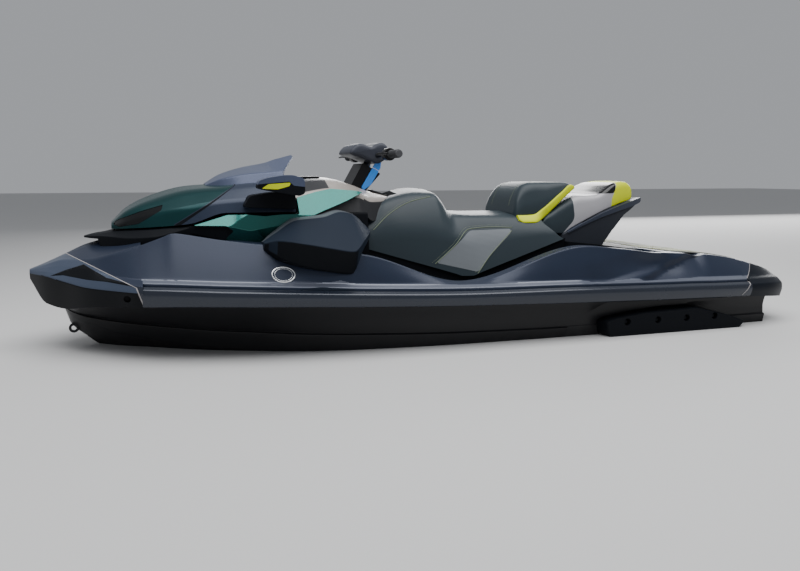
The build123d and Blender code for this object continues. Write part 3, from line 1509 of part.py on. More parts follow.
# Intake grate: bars along the hull under the intake
GRATE_BARS = 3
GRATE_BAR = 10.0
GRATE_FRONT = INTAKE_FRONT
GRATE_REAR = TUNNEL_FRONT + 45
GRATE_TOP = -244.0
GRATE_THICK = 14.0
GRATE_RAIL = 24.0
with BuildPart() as intake_grate:
    for rail_x in (GRATE_FRONT - GRATE_RAIL / 2, GRATE_REAR + GRATE_RAIL / 2):
        with Locations((rail_x, 0, GRATE_TOP)):
            Box(GRATE_RAIL, 2 * PUMP_BORE, GRATE_THICK, align=(Align.CENTER, Align.CENTER, Align.MAX))
    for bar in range(GRATE_BARS):
        bar_y = (bar - (GRATE_BARS - 1) / 2) * 2 * PUMP_BORE / (GRATE_BARS + 1)
        with Locations(((GRATE_FRONT + GRATE_REAR) / 2, bar_y, GRATE_TOP)):
            Box(GRATE_FRONT - GRATE_REAR, GRATE_BAR, GRATE_THICK, align=(Align.CENTER, Align.CENTER, Align.MAX))
    add(hull.part, mode=Mode.SUBTRACT)
intake_grate.part.label = "intake_grate"
export_step(intake_grate.part, "parts/intake_grate.step")

with BuildPart() as trim_ring:
    with BuildSketch(jet_plane):
        with BuildLine():
            Polyline(
                (GIMBAL_X + TRIM_FRONT, TRIM_INNER),
                (GIMBAL_X + TRIM_FRONT, TRIM_OUTER),
                (GIMBAL_X - TRIM_REAR, TRIM_OUTER),
                (GIMBAL_X - TRIM_REAR, TRIM_INNER),
                close=True,
            )
        make_face()
    revolve(axis=Axis((0, 0, JET_Z), (1, 0, 0)))
    for side in (1, -1):
        pin_foot = TRIM_OUTER - PIN_ROOT
        with Locations(Location((GIMBAL_X, side * pin_foot, JET_Z), (-side * 90, 0, 0))):
            Cylinder(PIVOT_RADIUS, EAR_INNER + TRIM_PIN_REACH - pin_foot, align=(Align.CENTER, Align.CENTER, Align.MIN))
    with Locations((GIMBAL_X, 0, JET_Z)):
        Cylinder(PIVOT_RADIUS + SEAT_GAP, CUT, mode=Mode.SUBTRACT)
trim_ring.part.label = "trim_ring"
export_step(trim_ring.part, "parts/trim_ring.step")

with BuildPart() as steering_nozzle:
    with BuildSketch(jet_plane):
        with BuildLine():
            Polyline(
                (GIMBAL_X + NOZZLE_FRONT, NOZZLE_MOUTH_RADIUS - NOZZLE_WALL),
                (GIMBAL_X + NOZZLE_FRONT, NOZZLE_MOUTH_RADIUS),
                (GIMBAL_X - NOZZLE_BEND, NOZZLE_MOUTH_RADIUS - 1),
                (GIMBAL_X - NOZZLE_LENGTH, NOZZLE_EXIT_RADIUS),
                (GIMBAL_X - NOZZLE_LENGTH, NOZZLE_EXIT_RADIUS - NOZZLE_WALL),
                (GIMBAL_X - NOZZLE_BEND, NOZZLE_MOUTH_RADIUS - 1 - NOZZLE_WALL),
                close=True,
            )
        make_face()
    revolve(axis=Axis((0, 0, JET_Z), (1, 0, 0)))
    for side in (1, -1):
        with Locations(Location((GIMBAL_X, 0, JET_Z + side * NOZZLE_PIN_FOOT), (0 if side > 0 else 180, 0, 0))):
            Cylinder(
                PIVOT_RADIUS,
                TRIM_INNER + NOZZLE_PIN_REACH - NOZZLE_PIN_FOOT,
                align=(Align.CENTER, Align.CENTER, Align.MIN),
            )
steering_nozzle.part.label = "steering_nozzle"
export_step(steering_nozzle.part, "parts/steering_nozzle.step")


def bucket_point(radius, angle):
    return (GIMBAL_X - radius * math.cos(math.radians(angle)), JET_Z + radius * math.sin(math.radians(angle)))


bucket_outer = BUCKET_INNER + BUCKET_WALL
middle = (BUCKET_START_DEG + BUCKET_END_DEG) / 2
with BuildPart() as reverse_bucket:
    with BuildSketch(Plane.XZ):
        with BuildLine():
            ThreePointArc(
                bucket_point(bucket_outer, BUCKET_START_DEG),
                bucket_point(bucket_outer, middle),
                bucket_point(bucket_outer, BUCKET_END_DEG),
            )
            Line(bucket_point(bucket_outer, BUCKET_END_DEG), bucket_point(BUCKET_INNER, BUCKET_END_DEG))
            ThreePointArc(
                bucket_point(BUCKET_INNER, BUCKET_END_DEG),
                bucket_point(BUCKET_INNER, middle),
                bucket_point(BUCKET_INNER, BUCKET_START_DEG),
            )
            Line(bucket_point(BUCKET_INNER, BUCKET_START_DEG), bucket_point(bucket_outer, BUCKET_START_DEG))
        make_face()
    extrude(amount=BUCKET_ARM_INNER + BUCKET_ARM_THICK, both=True)
    for side in (1, -1):
        with BuildSketch(Plane.XZ.offset(-side * BUCKET_ARM_INNER)):
            with BuildLine():
                Polyline(
                    (GIMBAL_X + BUCKET_ARM_FRONT, JET_Z - BUCKET_ARM_HALF),
                    bucket_point(bucket_outer - 2, BUCKET_START_DEG + 1),
                    bucket_point(bucket_outer - 1, middle),
                    bucket_point(bucket_outer - 2, BUCKET_END_DEG - 1),
                    (GIMBAL_X + BUCKET_ARM_FRONT, JET_Z + BUCKET_ARM_HALF),
                    close=True,
                )
            make_face()
        extrude(amount=-side * BUCKET_ARM_THICK)
        with Locations(Location((GIMBAL_X, side * (EAR_INNER + EAR_THICK / 2 + 0.5), JET_Z), (-side * 90, 0, 0))):
            Cylinder(PIVOT_RADIUS, BUCKET_ARM_INNER - EAR_INNER - 3, align=(Align.CENTER, Align.CENTER, Align.MIN))
reverse_bucket.part.label = "reverse_bucket"
export_step(reverse_bucket.part, "parts/reverse_bucket.step")
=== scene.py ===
"""Looks of a three-seat personal watercraft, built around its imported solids.

Tables are in millimetres, in the solids' own frame: +X to the bow, +Y to port, +Z up,
with the origin at the waterline amidships. Meshes are made in metres.
"""

from __future__ import annotations

import logging
import math
from dataclasses import dataclass
from enum import Enum
from typing import Callable, Sequence

import bmesh
import bpy
import numpy as np
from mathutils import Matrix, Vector


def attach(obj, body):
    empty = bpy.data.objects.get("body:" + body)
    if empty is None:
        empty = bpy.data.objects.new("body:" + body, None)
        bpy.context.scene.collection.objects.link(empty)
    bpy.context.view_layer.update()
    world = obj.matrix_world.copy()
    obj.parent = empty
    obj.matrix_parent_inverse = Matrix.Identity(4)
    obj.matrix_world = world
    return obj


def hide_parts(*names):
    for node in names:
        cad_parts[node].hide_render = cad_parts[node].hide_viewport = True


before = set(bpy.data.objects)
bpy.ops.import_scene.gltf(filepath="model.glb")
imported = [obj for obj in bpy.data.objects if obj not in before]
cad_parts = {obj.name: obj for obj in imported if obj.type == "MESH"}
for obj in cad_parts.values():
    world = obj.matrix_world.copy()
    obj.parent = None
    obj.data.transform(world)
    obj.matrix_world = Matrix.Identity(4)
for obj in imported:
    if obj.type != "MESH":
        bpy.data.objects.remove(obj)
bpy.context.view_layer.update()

LOG = logging.getLogger("watercraft")
MM = 0.001
TALL = 900.0
SIDES = ((1, "port"), (-1, "starboard"))
Row = Sequence[float]
Table = Sequence[Row]
NodeTable = dict[str, tuple]


class Cut(Enum):
    """How one closed mesh shapes another."""

    AWAY = "DIFFERENCE"
    INSIDE = "INTERSECT"
    TOGETHER = "UNION"


class Pattern(Enum):
    """Surface detail that a finish carries."""

    MOULDED = "moulded"
    FLAKE = "flake"
    VINYL = "vinyl"
    DOTS = "dots"
    RIBS = "ribs"
    BRUSHED = "brushed"
    TIDE = "tide"


def linear(red: float, green: float, blue: float) -> tuple[float, float, float]:
    """Linear colour of a display colour given from 0 to 255."""
    return tuple(
        v / 12.92 if v <= 0.04045 else ((v + 0.055) / 1.055) ** 2.4
        for v in (red / 255, green / 255, blue / 255)
    )


def socket_key(label: str) -> int | str:
    """Name of a socket, or its number where the label is one."""
    return int(label) if label.isdigit() else label


def wire(tree: bpy.types.NodeTree, nodes: NodeTable, links: str, **known: bpy.types.Node) -> None:
    """Adds nodes to a tree and links them.

    Args:
        tree: the tree.
        nodes: for each node its kind or group, and its settings; a capital or a number names an input.
        links: pairs such as "noise.Fac > tint.Value", with semicolons between them.
        known: nodes that are in the tree already.
    """
    for label, (kind, settings) in nodes.items():
        shared = isinstance(kind, NodeGroup)
        node = known[label] = tree.nodes.new("ShaderNodeGroup" if shared else kind)
        if shared:
            node.node_tree = kind.tree()
        for key, value in settings.items():
            if isinstance(key, str) and key[0].islower():
                setattr(node, key, value)
            else:
                node.inputs[key].default_value = value
    for pair in links.split(";"):
        (start, out), (end, into) = (side.strip().split(".") for side in pair.split(">"))
        tree.links.new(known[start].outputs[socket_key(out)], known[end].inputs[socket_key(into)])


@dataclass(frozen=True)
class NodeGroup:
    """A node group, written as its sockets, nodes and links.

    An input is given by its default value, or by its kind in words where it has none.
    """

    name: str
    inputs: dict[str, object]
    outputs: dict[str, str]
    nodes: NodeTable
    links: str
    kind: str = "ShaderNodeTree"

    def tree(self) -> bpy.types.NodeTree:
        """The group, made the first time it is asked for."""
        return bpy.data.node_groups.get(self.name) or self._make()

    @staticmethod
    def _kind_of(default: object) -> str:
        """Kind of the socket that takes a value."""
        if isinstance(default, tuple):
            return "Color" if len(default) == 4 else "Vector"
        return default if isinstance(default, str) else {bool: "Bool", int: "Int", float: "Float"}[type(default)]

    def _make(self) -> bpy.types.NodeTree:
        """Builds the group."""
        tree = bpy.data.node_groups.new(self.name, self.kind)
        for label, default in self.inputs.items():
            kind = f"NodeSocket{self._kind_of(default)}"
            socket = tree.interface.new_socket(label, in_out="INPUT", socket_type=kind)
            if not isinstance(default, str):
                socket.default_value = default
        for label, kind in self.outputs.items():
            tree.interface.new_socket(label, in_out="OUTPUT", socket_type=f"NodeSocket{kind}")
        given, made = tree.nodes.new("NodeGroupInput"), tree.nodes.new("NodeGroupOutput")
        wire(tree, self.nodes, self.links, given=given, made=made)
        return tree


GREY = (0.5, 0.5, 0.5, 1.0)
PLACE = ("ShaderNodeTexCoord", {})
TIMES = ("ShaderNodeMath", {"operation": "MULTIPLY"})
DOT = ("ShaderNodeVectorMath", {"operation": "DOT_PRODUCT"})
COSINE = ("ShaderNodeMath", {"operation": "COSINE"})


def varied(name: str, second: str, amount: float, scale: float, texture: tuple, measure: str) -> NodeGroup:
    """Group that varies a colour and a second value with a texture.

    Args:
        name: name of the group.
        second: label of the second value.
        amount: how much they vary.
        scale: scale of the texture.
        texture: kind and settings of its node.
        measure: the node's output that is used.

    Returns:
        The group, with outputs Color and the second value.
    """
    return NodeGroup(
        name,
        {"Color": GREY, second: 0.4, "Amount": amount, "Scale": scale},
        {"Color": "Color", second: "Float"},
        {
            "place": PLACE, "texture": texture, "swing": ("ShaderNodeMapRange", {"To Min": -1.0}),
            "strength": TIMES, "value": ("ShaderNodeMath", {"operation": "ADD", 1: 1.0}),
            "tint": ("ShaderNodeHueSaturation", {}), "second": TIMES,
        },
        f"place.Object > texture.Vector; given.Scale > texture.Scale; texture.{measure} > swing.Value;"
        "swing.Result > strength.0; given.Amount > strength.1; strength.Value > value.0;"
        f"given.Color > tint.Color; value.Value > tint.Value; given.{second} > second.0; value.Value > second.1;"
        f"tint.Color > made.Color; second.Value > made.{second}",
    )


# slow change of colour and roughness over a moulding
MOTTLE = varied("slow_mottle", "Roughness", 0.06, 6.0, ("ShaderNodeTexNoise", {"Detail": 3.0}), "Fac")
# metal flakes in a paint
FLAKE = varied("paint_flake", "Metallic", 0.2, 900.0, ("ShaderNodeTexVoronoi", {}), "Color")
# fine pebbled grain of a moulded or covered surface
GRAIN = NodeGroup(
    "pebble_grain",
    {"Scale": 700.0, "Softness": 0.5},
    {"Height": "Float"},
    {
        "place": PLACE, "cells": ("ShaderNodeTexVoronoi", {}), "noise": ("ShaderNodeTexNoise", {}),
        "blend": ("ShaderNodeMix", {}),
    },
    "place.Object > cells.Vector; place.Object > noise.Vector; given.Scale > cells.Scale; given.Scale > noise.Scale;"
    "given.Softness > blend.Factor; cells.Distance > blend.A; noise.Fac > blend.B; blend.Result > made.Height",
)
# regular ridges along one direction, or dots where two sets cross
RIDGES = NodeGroup(
    "ridge_field",
    {"Along": (1.0, 0.0, 0.0), "Across": (0.0, 0.0, 0.0), "Frequency": 400.0},
    {"Height": "Float"},
    {
        "place": PLACE, "dot_0": DOT, "turn_0": TIMES, "wave_0": COSINE, "dot_1": DOT, "turn_1": TIMES,
        "wave_1": COSINE, "crossing": TIMES,
    },
    "".join(
        f"place.Object > dot_{i}.0; given.{label} > dot_{i}.1; dot_{i}.Value > turn_{i}.0;"
        f"given.Frequency > turn_{i}.1; turn_{i}.Value > wave_{i}.0; wave_{i}.Value > crossing.{i};"
        for i, label in enumerate(("Along", "Across"))
    ) + "crossing.Value > made.Height",
)
# bottom colour under the waterline, and a dull film just above it
TIDE = NodeGroup(
    "tide_line",
    {"Side": GREY, "Bottom": (*linear(188, 190, 30), 1.0), "Edge": -0.012, "Film Top": 0.05},
    {"Color": "Color", "Film": "Float"},
    {
        "place": PLACE, "split": ("ShaderNodeSeparateXYZ", {}),
        "below": ("ShaderNodeMath", {"operation": "LESS_THAN"}), "blend": ("ShaderNodeMix", {"data_type": "RGBA"}),
        "noise": ("ShaderNodeTexNoise", {"Scale": 24.0}),
        "height": ("ShaderNodeMapRange", {"From Min": 0.0, "To Min": 1.0, "To Max": 0.0}), "film": TIMES,
    },
    "place.Object > split.Vector; place.Object > noise.Vector; split.Z > below.0; given.Edge > below.1;"
    "below.Value > blend.Factor; given.Side > blend.A; given.Bottom > blend.B; split.Z > height.Value;"
    "given.Film Top > height.From Max; height.Result > film.0; noise.Fac > film.1;"
    "blend.Result > made.Color; film.Value > made.Film",
)
# copies of a part along a path
COPIES = NodeGroup(
    "copies_on_path",
    {
        "Geometry": "Geometry", "Path": "Object", "Part": "Object", "Count": 1, "Follow": False, "Jitter": 0.0,
        "Seed": 0, "Material": "Material",
    },
    {"Geometry": "Geometry"},
    {
        "path": ("GeometryNodeObjectInfo", {}), "part": ("GeometryNodeObjectInfo", {}),
        "spread": ("GeometryNodeCurveToPoints", {}), "turn": ("GeometryNodeSwitch", {"input_type": "ROTATION"}),
        "place": ("GeometryNodeInstanceOnPoints", {}), "low": ("ShaderNodeMath", {"operation": "SUBTRACT", 0: 1.0}),
        "size": ("FunctionNodeRandomValue", {"Max": 1.0}), "solid": ("GeometryNodeRealizeInstances", {}),
        "colour": ("GeometryNodeSetMaterial", {}),
    },
    "given.Path > path.Object; given.Part > part.Object; path.Geometry > spread.Curve; given.Count > spread.Count;"
    "given.Follow > turn.Switch; spread.Rotation > turn.True; given.Jitter > low.1; low.Value > size.2;"
    "given.Seed > size.Seed; spread.Points > place.Points; part.Geometry > place.Instance;"
    "turn.Output > place.Rotation; size.1 > place.Scale; place.Instances > solid.Geometry;"
    "solid.Geometry > colour.Geometry; given.Material > colour.Material; colour.Geometry > made.Geometry",
    "GeometryNodeTree",
)


@dataclass(frozen=True)
class Finish:
    """One material of the craft, with the record's slot that it belongs to and its display colour."""

    name: str
    slot: str
    colour: tuple[int, int, int]
    roughness: float
    pattern: Pattern = Pattern.MOULDED
    metallic: float = 0.0
    coat: float = 0.0
    coat_roughness: float = 0.06
    specular: float = 0.5
    grain_scale: float = 900.0
    grain_depth: float = 0.08
    bump_distance: float = 0.0006
    pitch: float = 0.008
    direction: tuple[float, float, float] = (1.0, 0.0, 0.0)

    def material(self) -> bpy.types.Material:
        """The material, made the first time it is asked for."""
        return bpy.data.materials.get(self.name) or self._make()

    def _make(self) -> bpy.types.Material:
        """Builds the material's nodes."""
        material = bpy.data.materials.new(self.name)
        material.use_nodes = True
        shader = material.node_tree.nodes["Principled BSDF"]
        for label, number in (
            ("Metallic", self.metallic), ("Coat Weight", self.coat), ("Coat Roughness", self.coat_roughness),
            ("Specular IOR Level", self.specular),
        ):
            shader.inputs[label].default_value = number
        nodes: NodeTable = {
            "mottle": (MOTTLE, {"Color": (*linear(*self.colour), 1.0), "Roughness": self.roughness}),
            "bump": ("ShaderNodeBump", {"Strength": self.grain_depth, "Distance": self.bump_distance}),
        }
        links = "mottle.Color > shader.Base Color; mottle.Roughness > shader.Roughness; bump.Normal > shader.Normal;"
        if self.pattern is Pattern.FLAKE:
            nodes["flake"] = (FLAKE, {"Metallic": self.metallic})
            links += "mottle.Color > flake.Color; flake.Color > shader.Base Color; flake.Metallic > shader.Metallic;"
        if self.pattern is Pattern.TIDE:
            nodes |= {"tide": (TIDE, {}), "dull": ("ShaderNodeMath", {"operation": "ADD"})}
            links += (
                "mottle.Color > tide.Side; tide.Color > shader.Base Color; mottle.Roughness > dull.0;"
                "tide.Film > dull.1; dull.Value > shader.Roughness;"
            )
        if self.pattern in (Pattern.DOTS, Pattern.RIBS, Pattern.BRUSHED):
            turned = (self.direction[2], 0.0, -self.direction[0])
            nodes["detail"] = (RIDGES, {
                "Along": self.direction, "Across": turned if self.pattern is Pattern.DOTS else (0.0, 0.0, 0.0),
                "Frequency": 2 * math.pi / self.pitch,
            })
        else:
            softness = 0.25 if self.pattern is Pattern.VINYL else 0.75
            nodes["detail"] = (GRAIN, {"Scale": self.grain_scale, "Softness": softness})
        wire(material.node_tree, nodes, links + "detail.Height > bump.Height", shader=shader)
        return material


class Finishes:
    """All the finishes of the craft."""

    HULL = Finish("hull_gloss", "hull_shell", (30, 30, 32), 0.3, Pattern.TIDE, specular=0.25, grain_depth=0.02)
    DECK = Finish("deck_satin", "deck_shell", (35, 43, 60), 0.36, Pattern.FLAKE, metallic=0.2, coat=0.06,
                  coat_roughness=0.2, specular=0.25, grain_depth=0.03)
    # lip of the deck by the rail, painted pale as a highlight where it faces the sky
    DECK_LIP_HIGHLIGHT = Finish("deck_lip_satin", "deck_shell", (92, 97, 110), 0.3, Pattern.FLAKE, metallic=0.3, coat=0.2,
                      coat_roughness=0.15, grain_depth=0.03)
    # dark bow cap, also used as painted shade on the bow's shadowed facet
    BOW = Finish("bow_satin", "bow_cap", (11, 13, 17), 0.36, Pattern.FLAKE, metallic=0.1, specular=0.12,
                 grain_depth=0.05)
    # blue-grey upper faces of the bow cap, their own colour painted lighter as a highlight where they face up
    BOW_TOP_HIGHLIGHT = Finish("bow_upper_facet", "bow_cap", (64, 74, 92), 0.32, Pattern.FLAKE, metallic=0.25, coat=0.1,
                     coat_roughness=0.2, specular=0.4, grain_depth=0.05)
    RAIL = Finish("rail_satin", "side_rail", (34, 40, 52), 0.27, Pattern.FLAKE, metallic=0.3, coat=0.3,
                  coat_roughness=0.15, grain_depth=0.03)
    STERN = Finish("stern_satin", "stern_cap", (16, 21, 29), 0.4, Pattern.FLAKE, metallic=0.1, specular=0.12,
                   grain_depth=0.05)
    SEAM = Finish("seam_filler", "side_rail", (150, 146, 146), 0.5)
    # black moulding, also used as painted shade on faces of the deck and pods that lie in shadow
    BLACK = Finish("black_moulding", "black_plastic", (18, 20, 24), 0.5, specular=0.06, grain_depth=0.25,
                   grain_scale=1400)
    # knee pod moulding, also used as painted shade in the flank scoops
    POD = Finish("pod_moulding", "black_plastic", (31, 38, 49), 0.5, specular=0.06, grain_depth=0.16,
                 grain_scale=1400)
    BASE = Finish("tail_base_moulding", "black_plastic", (46, 49, 56), 0.5, specular=0.1, grain_depth=0.16)
    # upper facet of the knee pods, painted lighter as a highlight where it faces up
    POD_TOP_HIGHLIGHT = Finish("pod_upper_facet", "black_plastic", (72, 76, 82), 0.42, specular=0.3, grain_depth=0.16)
    GREEN = Finish("green_paint", "green_gloss", (28, 92, 86), 0.24, Pattern.FLAKE, metallic=0.75, coat=0.35,
                   coat_roughness=0.05, grain_depth=0.0)
    # green paint of the nose fairing, darkened as a painted reflection of dark surroundings
    FAIRING_DARK_REFLECTION = Finish("fairing_paint", "green_gloss", (22, 54, 56), 0.26, Pattern.FLAKE, metallic=0.4,
                     specular=0.15, grain_depth=0.0)
    COWL = Finish("cowl_paint", "cowl_grey", (72, 80, 102), 0.34, Pattern.FLAKE, metallic=0.2, specular=0.25,
                  grain_depth=0.02)
    HOOD = Finish("hood_paint", "cowl_grey", (38, 47, 64), 0.36, Pattern.FLAKE, metallic=0.25, coat=0.05,
                  coat_roughness=0.25, specular=0.3, grain_depth=0.02)
    CONSOLE = Finish("console_satin", "console_plastic", (30, 31, 34), 0.34, grain_depth=0.12)
    # upward faces of the console, painted pale as glare from the sky
    CONSOLE_TOP_GLARE = Finish("console_top", "console_plastic", (150, 144, 138), 0.32, grain_depth=0.12, coat=0.3,
                         coat_roughness=0.25)
    # seat vinyl, also used as the bolster's painted shadow on the rear seat
    VINYL = Finish("seat_cover", "seat_vinyl", (42, 52, 58), 0.38, Pattern.VINYL, grain_depth=0.25,
                   grain_scale=620, specular=0.25)
    # dotted side panels of the seat, the seat's vinyl painted lighter as sheen
    SHEENED_PANEL = Finish("seat_panel", "seat_vinyl", (112, 117, 122), 0.42, Pattern.DOTS, grain_depth=0.35,
                   specular=0.15, pitch=0.0075, direction=(0.72, 0.0, 0.69))
    PIPING = Finish("seat_piping", "seat_vinyl", (104, 116, 92), 0.45)
    THREAD = Finish("seat_thread", "seat_vinyl", (128, 138, 110), 0.7)
    # hump of the rear seat, its mid-grey painted lighter as sunlight
    TAIL = Finish("tail_satin", "tail_grey", (160, 159, 163), 0.34, grain_depth=0.12, coat=0.2, coat_roughness=0.3)
    LIP = Finish("tail_lip_satin", "tail_grey", (48, 54, 68), 0.34, grain_depth=0.12, specular=0.25)
    NEON = Finish("neon_vinyl", "yellow_vinyl", (200, 210, 8), 0.42, Pattern.VINYL, grain_depth=0.15, specular=0.25)
    MAT = Finish("ribbed_foam", "mat_foam", (156, 157, 150), 0.7, Pattern.RIBS, grain_depth=0.9,
                 bump_distance=0.002, pitch=0.016, direction=(0.0, 1.0, 0.0))
    MAT_LINE = Finish("foam_line", "mat_foam", (176, 184, 66), 0.75)
    RUBBER = Finish("rubber_sleeve", "grip_rubber", (62, 63, 66), 0.55, grain_depth=0.3)
    PAD = Finish("pad_satin", "pad_grey", (58, 61, 70), 0.42, grain_depth=0.05, specular=0.2)
    CONTROL = Finish("control_moulding", "control_plastic", (18, 18, 20), 0.36, grain_depth=0.2, specular=0.2)
    TUBE = Finish("dark_tube", "bar_tube", (60, 60, 64), 0.35, metallic=0.9)
    BLUE = Finish("strip_paint", "blue_strip", (46, 132, 224), 0.3, coat=0.4)
    GLASS = Finish("dark_lens", "gauge_glass", (6, 8, 10), 0.12, specular=0.3, coat=0.15, coat_roughness=0.04,
                   grain_depth=0.0)
    MIRROR = Finish("mirror_face", "mirror", (225, 228, 232), 0.03, metallic=1.0, grain_depth=0.0)
    CHROME = Finish("ring_chrome", "ring_chrome", (186, 190, 198), 0.16, metallic=1.0, grain_depth=0.0)
    BIN = Finish("bin_moulding", "bin_plastic", (26, 26, 28), 0.6, grain_depth=0.3)
    ENGINE = Finish("engine_casting", "engine_metal", (110, 110, 112), 0.5, metallic=0.8, grain_depth=0.5,
                    grain_scale=260)
    JET = Finish("jet_casting", "jet_metal", (150, 152, 154), 0.38, metallic=0.85, grain_depth=0.35, grain_scale=320)
    STEEL = Finish("brushed_steel", "steel", (176, 178, 182), 0.26, Pattern.BRUSHED, metallic=1.0,
                   grain_depth=0.1, bump_distance=0.0002, pitch=0.0011, direction=(0.0, 0.0, 1.0))
    DARK_STEEL = Finish("dark_steel", "steel", (52, 52, 54), 0.4, Pattern.BRUSHED, metallic=1.0,
                        grain_depth=0.1, bump_distance=0.0002, pitch=0.0011, direction=(0.0, 0.0, 1.0))


def monotone(x: np.ndarray, values: np.ndarray, at: np.ndarray) -> np.ndarray:
    """Smooth curve through table values that never overshoots them.

    Args:
        x: places of the rows, in any order.
        values: one row of numbers for each place.
        at: places asked for.

    Returns:
        One row of numbers for each place asked for.
    """
    order = np.argsort(x)
    x, values = x[order], values[order]
    gap = np.diff(x)[:, None]
    slope = np.diff(values, axis=0) / gap
    tangent = np.zeros_like(values)
    tangent[0], tangent[-1] = slope[0], slope[-1]
    if len(x) > 2:
        before, after = slope[:-1], slope[1:]
        weight_a, weight_b = 2 * gap[1:] + gap[:-1], gap[1:] + 2 * gap[:-1]
        same = before * after > 1e-12
        safe_a, safe_b = np.where(same, before, 1.0), np.where(same, after, 1.0)
        mean = (weight_a + weight_b) / (weight_a / safe_a + weight_b / safe_b)
        tangent[1:-1] = np.where(same, mean, 0.0)
    cell = np.clip(np.searchsorted(x, at) - 1, 0, len(x) - 2)
    width = gap[cell]
    t = (np.clip(at, x[0], x[-1]) - x[cell])[:, None] / width
    start, end = values[cell], values[cell + 1]
    leaving, reaching = tangent[cell] * width, tangent[cell + 1] * width
    return (
        start * (2 * t**3 - 3 * t**2 + 1) + leaving * (t**3 - 2 * t**2 + t)
        + end * (3 * t**2 - 2 * t**3) + reaching * (t**3 - t**2)
    )


def rows_at(table: Table, places: np.ndarray) -> np.ndarray:
    """Rows of a table, without their x, at values of x between its own."""
    rows = np.array(table, float)
    return monotone(rows[:, 0], rows[:, 1:], places)


def stations(low: float, high: float, step: float, fine: Table = ()) -> np.ndarray:
    """Places along x for the sections of a loft.

    Args:
        low: lowest x.
        high: highest x.
        step: usual distance between sections.
        fine: low, high and step of stretches with more sections.

    Returns:
        The places, rising.
    """
    places = list(np.linspace(low, high, max(2, int(round((high - low) / step)) + 1)))
    for start, end, small in fine:
        places = [p for p in places if not start < p < end] + list(np.arange(start, end, small))
    return np.array(sorted(set(np.round(places, 3))))


def corner(before: np.ndarray, at: np.ndarray, after: np.ndarray, setback: float, arc: int) -> list[np.ndarray]:
    """Points of one rounded corner.

    Args:
        before: the outline's point before the corner.
        at: the corner.
        after: the point after it.
        setback: how far from the corner the rounding starts.
        arc: pieces in it.

    Returns:
        The points, from one straight stretch to the next.
    """
    back, ahead = before - at, after - at
    long_back, long_ahead = np.linalg.norm(back) + 1e-9, np.linalg.norm(ahead) + 1e-9
    cut = min(setback, 0.48 * long_back, 0.48 * long_ahead)
    start, end = at + back / long_back * cut, at + ahead / long_ahead * cut
    return [(1 - t) ** 2 * start + 2 * t * (1 - t) * at + t**2 * end for t in np.arange(arc + 1) / arc]


def rounded(points: Table, setbacks: Row, arc: int = 4, fill: int = 1) -> np.ndarray:
    """Open outline with its inner corners rounded.

    Args:
        points: corners in the plane.
        setbacks: for each corner, how far from it the rounding starts.
        arc: pieces in each rounding.
        fill: pieces in each straight stretch.

    Returns:
        Points along the rounded outline.
    """
    p = np.array(points, float)
    made = [p[0]]
    for i in range(1, len(p)):
        new = corner(p[i - 1], p[i], p[i + 1], setbacks[i], arc) if i < len(p) - 1 else [p[-1]]
        made += [made[-1] + (new[0] - made[-1]) * k / fill for k in range(1, fill)] + new
    return np.array(made)


def rounded_loop(points: Table, setback: float | Row, arc: int = 4) -> np.ndarray:
    """Closed outline with its corners rounded.

    Args:
        points: corners in the plane.
        setback: how far from a corner the rounding starts, for all corners or one by one.
        arc: pieces in each rounding.

    Returns:
        Points round the outline.
    """
    p = np.array(points, float)
    sizes = np.broadcast_to(setback, len(p))
    made = [corner(p[i - 1], p[i], p[(i + 1) % len(p)], sizes[i], arc) for i in range(len(p))]
    return np.array([point for points in made for point in points])


def mirrored(half: np.ndarray) -> np.ndarray:
    """Whole outline of a section from its port half, given as (y, z) from bottom to top."""
    other = half[::-1][half[::-1][:, 0] > 1e-6] * np.array([-1.0, 1.0])
    return np.vstack([half, other])


def whole(points: Table, setbacks: Row, arc: int = 4, fill: int = 1) -> np.ndarray:
    """Whole section from the corners of its port half."""
    return mirrored(rounded(points, setbacks, arc, fill))


def both_edges(line: Table, grow: float = 0.0) -> list[tuple[float, float]]:
    """Plan outline from its port half, given as (x, y), widened on each side."""
    return [(x, y + grow) for x, y in line] + [(x, -y - grow) for x, y in reversed(line)]


def linked(name: str, data: bpy.types.ID) -> bpy.types.Object:
    """Object with the given data, linked to the scene."""
    thing = bpy.data.objects.new(name, data)
    bpy.context.scene.collection.objects.link(thing)
    return thing


def settled(name: str, bm: bmesh.types.BMesh) -> bpy.types.Object:
    """Object with a working mesh, which is freed."""
    mesh = bpy.data.meshes.new(name)
    bm.to_mesh(mesh)
    bm.free()
    return linked(name, mesh)


def mesh_object(name: str, points: Table, faces: Sequence[Sequence[int]]) -> bpy.types.Object:
    """Object with the given mesh, its faces turned outwards.

    Args:
        name: name of the object.
        points: places in metres.
        faces: indices of each face's points.

    Returns:
        The object.
    """
    mesh = bpy.data.meshes.new(name)
    mesh.from_pydata([tuple(p) for p in points], [], [tuple(f) for f in faces])
    bm = bmesh.new()
    bm.from_mesh(mesh)
    bpy.data.meshes.remove(mesh)
    bmesh.ops.remove_doubles(bm, verts=bm.verts, dist=2e-6)
    bmesh.ops.dissolve_degenerate(bm, edges=bm.edges, dist=1e-6)
    bmesh.ops.recalc_face_normals(bm, faces=bm.faces)
    return settled(name, bm)


